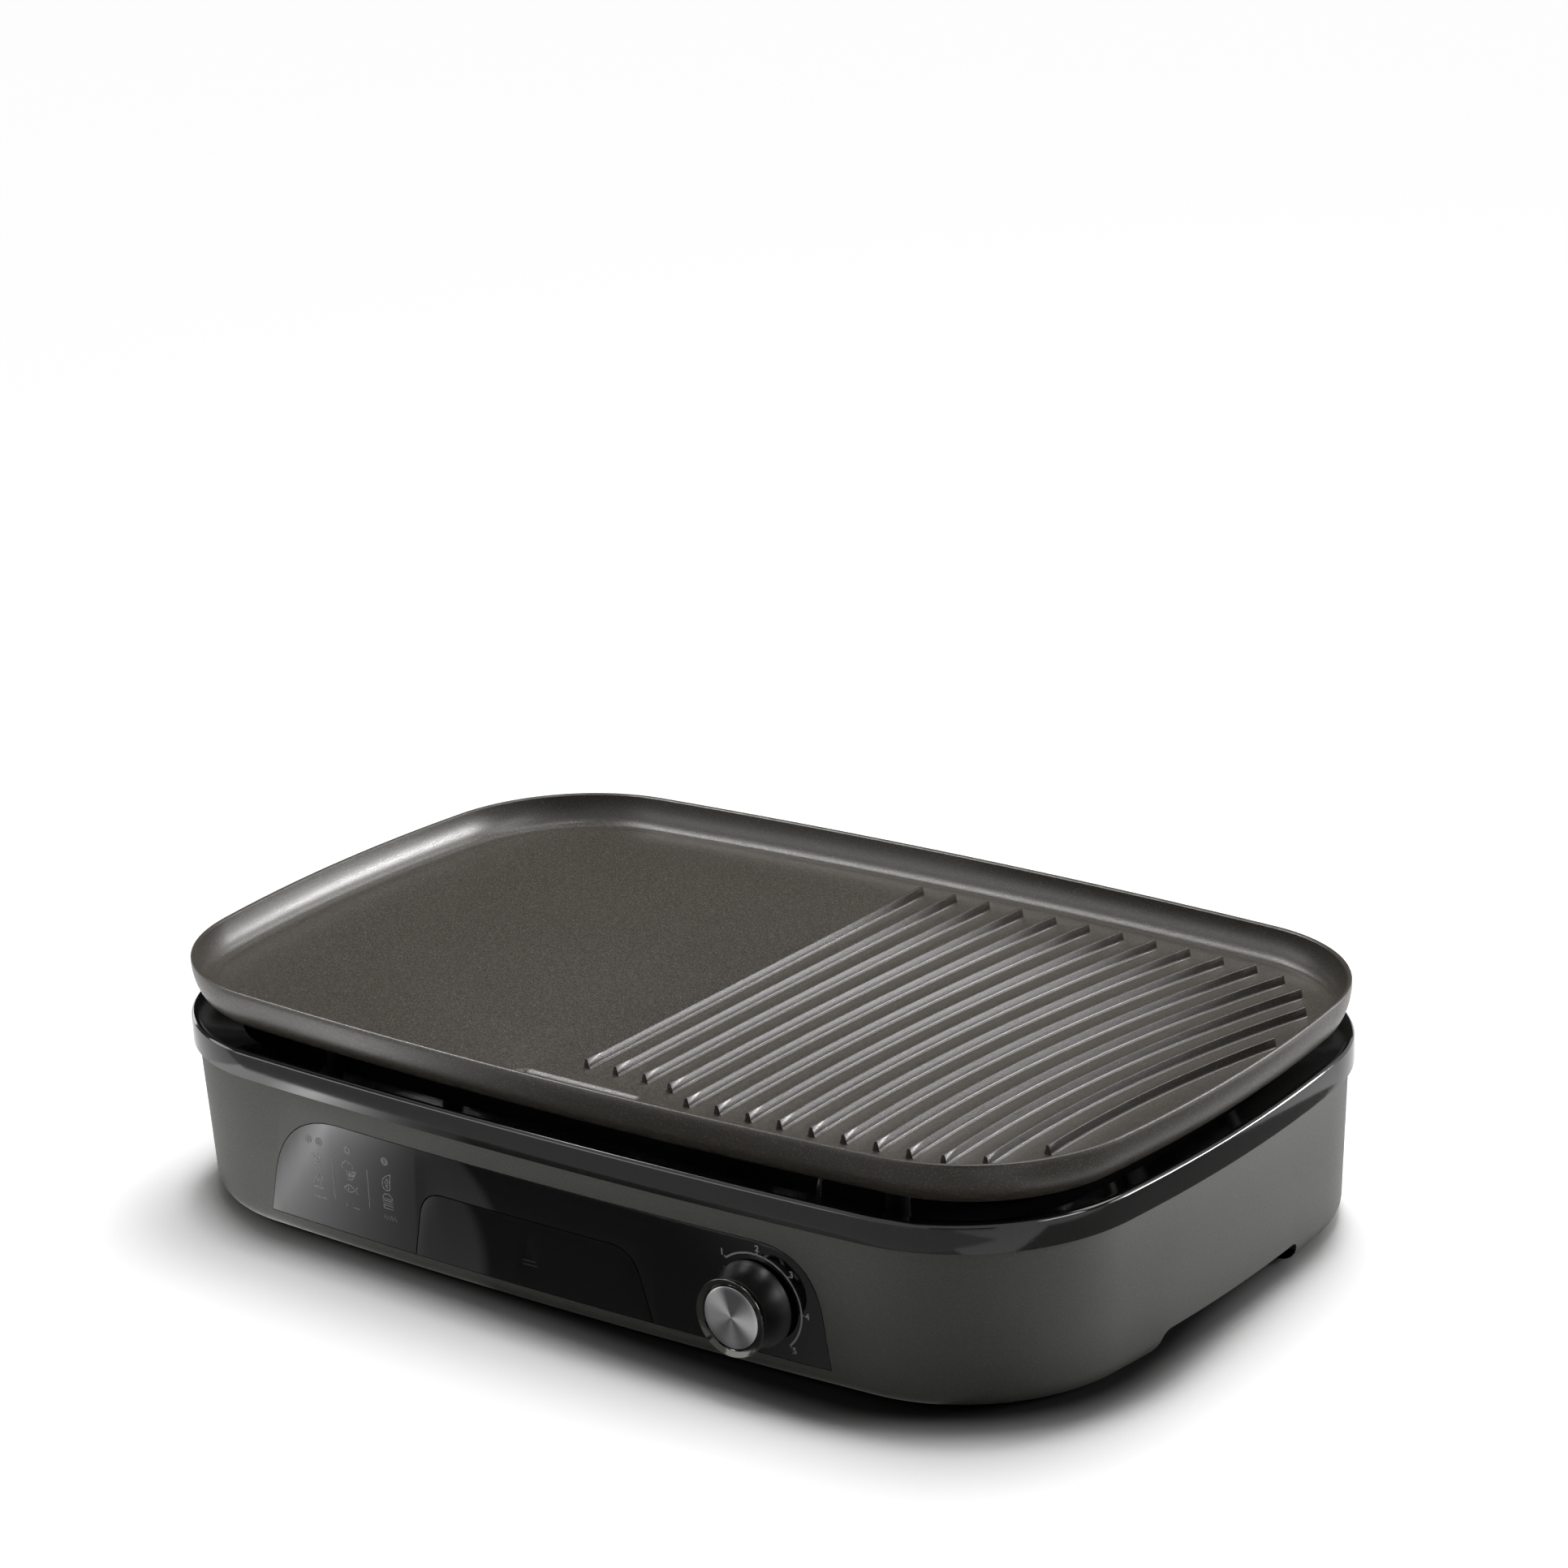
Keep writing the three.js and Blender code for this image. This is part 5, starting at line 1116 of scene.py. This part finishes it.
class GRILL_OT_studio(bpy.types.Operator):
    """Pale floor with a painted contact shadow, soft light, reflection cards and the camera"""

    bl_idname = "grill.studio"
    bl_label = "Studio"

    def execute(self, context):
        settings = context.scene.grill_studio
        self.floor()
        self.world(settings.fill)
        self.lamps()
        self.cards()
        self.camera(settings.lens)
        context.scene.view_settings.view_transform = "Standard"
        return {"FINISHED"}

    def floor(self):
        bm = bmesh.new()
        bmesh.ops.create_grid(bm, x_segments=1, y_segments=1, size=6)
        mesh = mesh_from(bm, "floor")
        tree = Tree("pale_floor")
        mesh.materials.append(tree.material)
        show("floor", mesh)
        tree.nodes.remove(tree.shader)
        x, y, _ = tree.axes()
        away = ((x * x) + (y * y)).maths("SQRT")
        # Painted contact shadow: beside is the distance from a rounded rectangle under the body
        half_wide, half_deep, corner = 0.145, 0.057, 0.10
        past_x = (x.maths("ABSOLUTE") - half_wide).maths("MAXIMUM", 0.0)
        past_y = (y.maths("ABSOLUTE") - half_deep).maths("MAXIMUM", 0.0)
        beside = (past_x * past_x + past_y * past_y).maths("SQRT") - corner
        # The painted shadow is moved so that it reaches further at the front and the right
        beside = beside + tree.ramp(x, -0.20, 0.16, 0.014, -0.003)
        beside = beside + tree.ramp(y, -0.11, 0.06, 0.0, 0.016)
        # The floor's white glow fades near the body, which paints its shadow darker there
        glow_past_painted_shadow = tree.ramp(beside, 0.002, 0.030, 0.0, 0.48)
        glow_past_painted_shadow = glow_past_painted_shadow + tree.ramp(away, 0.40, 1.0, 0.0, 0.50)
        # Painted shadow: the white the camera sees is darkened near the body's outline, over its
        # real shadow from the lamps
        under = tree.ramp(beside, -0.012, 0.018, 0.06, 1.35)
        path = tree.add("ShaderNodeLightPath")
        seen, mirrored, refracted = (tree.value(path, ray) for ray in SEEN_RAYS)
        looked_at = (seen + mirrored + refracted).maths("MINIMUM", 1.0)
        plain = tree.add("ShaderNodeBsdfDiffuse", Color=(0.80, 0.80, 0.80))
        # This diffuse white carries the painted contact shadow
        white = tree.add("ShaderNodeBsdfDiffuse", Color=under)
        glow = tree.add("ShaderNodeEmission", Color=(1, 1, 1), Strength=1.0)
        pale = tree.add("ShaderNodeMixShader", Fac=glow_past_painted_shadow)
        choose = tree.add("ShaderNodeMixShader", Fac=looked_at)
        tree.links.new(white.outputs[0], pale.inputs[1])
        tree.links.new(glow.outputs[0], pale.inputs[2])
        tree.links.new(plain.outputs[0], choose.inputs[1])
        tree.links.new(pale.outputs[0], choose.inputs[2])
        tree.links.new(choose.outputs[0], tree.nodes["Material Output"].inputs["Surface"])

    def world(self, fill):
        world = bpy.data.worlds.new("studio")
        bpy.context.scene.world = world
        world.use_nodes = True
        nodes, links = world.node_tree.nodes, world.node_tree.links
        nodes.clear()
        output = nodes.new("ShaderNodeOutputWorld")
        path = nodes.new("ShaderNodeLightPath")
        grey, white = nodes.new("ShaderNodeBackground"), nodes.new("ShaderNodeBackground")
        grey.inputs["Strength"].default_value = fill
        white.inputs["Strength"].default_value = 1.0
        for node in (grey, white):
            node.inputs["Color"].default_value = (1, 1, 1, 1)
        total = None
        for ray in SEEN_RAYS:
            if total is None:
                total = path.outputs[ray]
                continue
            add = nodes.new("ShaderNodeMath")
            add.operation, add.use_clamp = "ADD", True
            links.new(total, add.inputs[0])
            links.new(path.outputs[ray], add.inputs[1])
            total = add.outputs[0]
        choose = nodes.new("ShaderNodeMixShader")
        links.new(total, choose.inputs[0])
        links.new(grey.outputs[0], choose.inputs[1])
        links.new(white.outputs[0], choose.inputs[2])
        links.new(choose.outputs[0], output.inputs["Surface"])

    def lamps(self):
        for name, place, target, size, power in (
            ("main", (-0.20, 0.70, 1.90), (0, 0, 0.06), 1.0, 40),
            ("back", (-0.30, 1.80, 1.10), (0, 0, 0.06), 1.3, 6),
            ("right", (1.25, 0.75, 0.42), (0.15, 0.05, 0.06), 0.6, 5.3),
            ("left", (-1.05, -0.45, 0.30), (-0.22, -0.10, 0.05), 0.4, 1.5),
        ):
            light = bpy.data.lights.new(name, "AREA")
            light.shape, light.size, light.energy = "DISK", size, power
            aim(show(name, light), place, target, "-Z")

    def card(self, name, place, target, width, height, strength):
        """A card that only gloss sees: dark ones calm a reflection, bright ones give it."""
        bm = bmesh.new()
        bmesh.ops.create_grid(bm, x_segments=1, y_segments=1, size=0.5)
        bmesh.ops.scale(bm, verts=bm.verts, vec=(width, height, 1))
        mesh = mesh_from(bm, name)
        tree = Tree(name)
        tree.nodes.remove(tree.shader)
        if strength is None:
            strength = self.panel_light(tree)
        glow = tree.add("ShaderNodeEmission", Color=(1, 1, 1), Strength=strength)
        tree.links.new(glow.outputs[0], tree.nodes["Material Output"].inputs["Surface"])
        mesh.materials.append(tree.material)
        piece = show(name, mesh)
        aim(piece, place, target, "Z")
        piece.visible_camera = piece.visible_diffuse = piece.visible_shadow = False
        piece.visible_transmission = piece.visible_volume_scatter = False

    def cards(self):
        for row in (
            ("flag_sky", (-0.95, 1.10, 0.70), (0, 0, 0.1), 3.2, 1.5, 0.03),
            ("flag_lens", (0.50, -0.66, 0.05), (0, 0, 0.08), 0.42, 0.5, 0.02),
            ("flag_floor", (0.46, 0.03, 0.002), (0.46, 0.03, 1), 0.32, 0.46, 0.22),
            ("flag_front", (-0.12, -0.52, 0.002), (-0.12, -0.52, 1), 1.1, 0.42, 0.50),
            ("flag_top", (0.10, 0.10, 1.70), (0, 0, 0.1), 2.4, 2.4, 0.05),
            ("flag_left", (-1.60, -0.30, 0.60), (0, 0, 0.1), 2.0, 1.2, 0.15),
            ("flag_right", (1.70, 0.30, 0.75), (0, 0, 0.1), 1.6, 1.3, 0.10),
            ("glow_ribs", (1.28, 1.20, 0.36), (0.10, 0, 0.10), 0.85, 0.30, 60.0),
            ("glow_flanks", (1.24, -0.10, 0.68), (0.12, 0, 0.10), 0.50, 0.40, 8.0),
            ("glow_corner", (0.62, 0.24, 0.78), (0, 0, 0.10), 0.34, 0.55, 6.0),
            ("glow_front", (-0.85, -1.10, 0.30), (0, 0, 0.10), 0.9, 0.6, 3.5),
            ("glow_left", (-1.30, 0.45, 0.12), (0, 0, 0.10), 0.7, 0.25, 3.0),
            ("glow_top", (-0.60, -0.22, 0.82), (0, 0, 0.08), 0.7, 0.22, 16.0),
            ("glow_over", (0.25, -0.14, 0.98), (0, 0, 0.08), 0.8, 0.12, 12.0),
            ("glow_side", (0.38, 0.95, 0.78), (0, 0, 0.08), 0.35, 0.35, 12.0),
            ("panel_card", (-0.05, -0.22, 0.0015), (-0.05, -0.22, 1), 0.66, 0.175, None),
        ):
            self.card(*row)

    def panel_light(self, tree):
        """What the front panel mirrors: light at its left, a slanting edge, then dark.

        The card lies turned half round, so its own x and y run against the frame's.
        """
        x, y, _ = tree.axes()
        reach = y + 0.0705
        across = reach * 0.772 - x - 0.05
        height = reach * 0.43
        left = (1 - tree.ramp(across, -0.168, -0.062, smooth=False)) ** 2.4
        left = left * tree.ramp(across, -0.205, -0.165, 0.42, 1.0)
        wedge = 1 - tree.ramp(across + height * 0.297, -0.046, -0.036)
        right = tree.ramp(across, 0.07, 0.16)
        return left * (height * 64 + 2.3) + wedge * 0.30 + right * 0.24 + 0.10

    def camera(self, lens):
        data = bpy.data.cameras.new("camera")
        data.lens = lens
        data.sensor_width = 36
        data.clip_start, data.clip_end = 0.05, 50
        camera = show("camera", data)
        right = Vector((0.79945084, 0.59931036, -0.04129697))
        up = Vector((-0.16199582, 0.28127111, 0.94585618))
        back = Vector((0.57847706, -0.74947559, 0.3219482))
        turn = Matrix((right, up, back)).transposed()
        place = (1.19710, -1.52830 + MIDDLE, 0.84748)
        camera.matrix_world = Matrix.Translation(place) @ turn.to_4x4()
        bpy.context.scene.camera = camera


class GRILL_PT_panel(bpy.types.Panel):
    """Lists the grill's pieces"""

    bl_label = "Electric table grill"
    bl_idname = "GRILL_PT_panel"
    bl_space_type = "VIEW_3D"
    bl_region_type = "UI"
    bl_category = "Grill"

    def draw(self, context):
        scene = context.scene
        for settings, names in (
            (scene.grill_plate, ("rib_count", "rib_height", "coating")),
            (scene.grill_body, ("housing", "panel", "print_colour")),
            (scene.grill_studio, ("lens", "fill")),
        ):
            for name in names:
                self.layout.prop(settings, name)
        for operator in OPERATORS:
            self.layout.operator(operator.bl_idname)


SETTINGS = {
    "grill_plate": GrillPlateSettings,
    "grill_body": GrillBodySettings,
    "grill_studio": GrillStudioSettings,
}
OPERATORS = (
    GRILL_OT_studio, GRILL_OT_plate, GRILL_OT_housing, GRILL_OT_panel, GRILL_OT_knob,
    GRILL_OT_inner,
)


def register():
    for cls in (*SETTINGS.values(), *OPERATORS, GRILL_PT_panel):
        bpy.utils.register_class(cls)
    for name, cls in SETTINGS.items():
        setattr(bpy.types.Scene, name, PointerProperty(type=cls))


def unregister():
    for name in SETTINGS:
        delattr(bpy.types.Scene, name)
    for cls in reversed((*SETTINGS.values(), *OPERATORS, GRILL_PT_panel)):
        bpy.utils.unregister_class(cls)


def main():
    register()
    for operator in OPERATORS:
        area, name = operator.bl_idname.split(".")
        getattr(getattr(bpy.ops, area), name)()


if __name__ == "__main__":
    main()
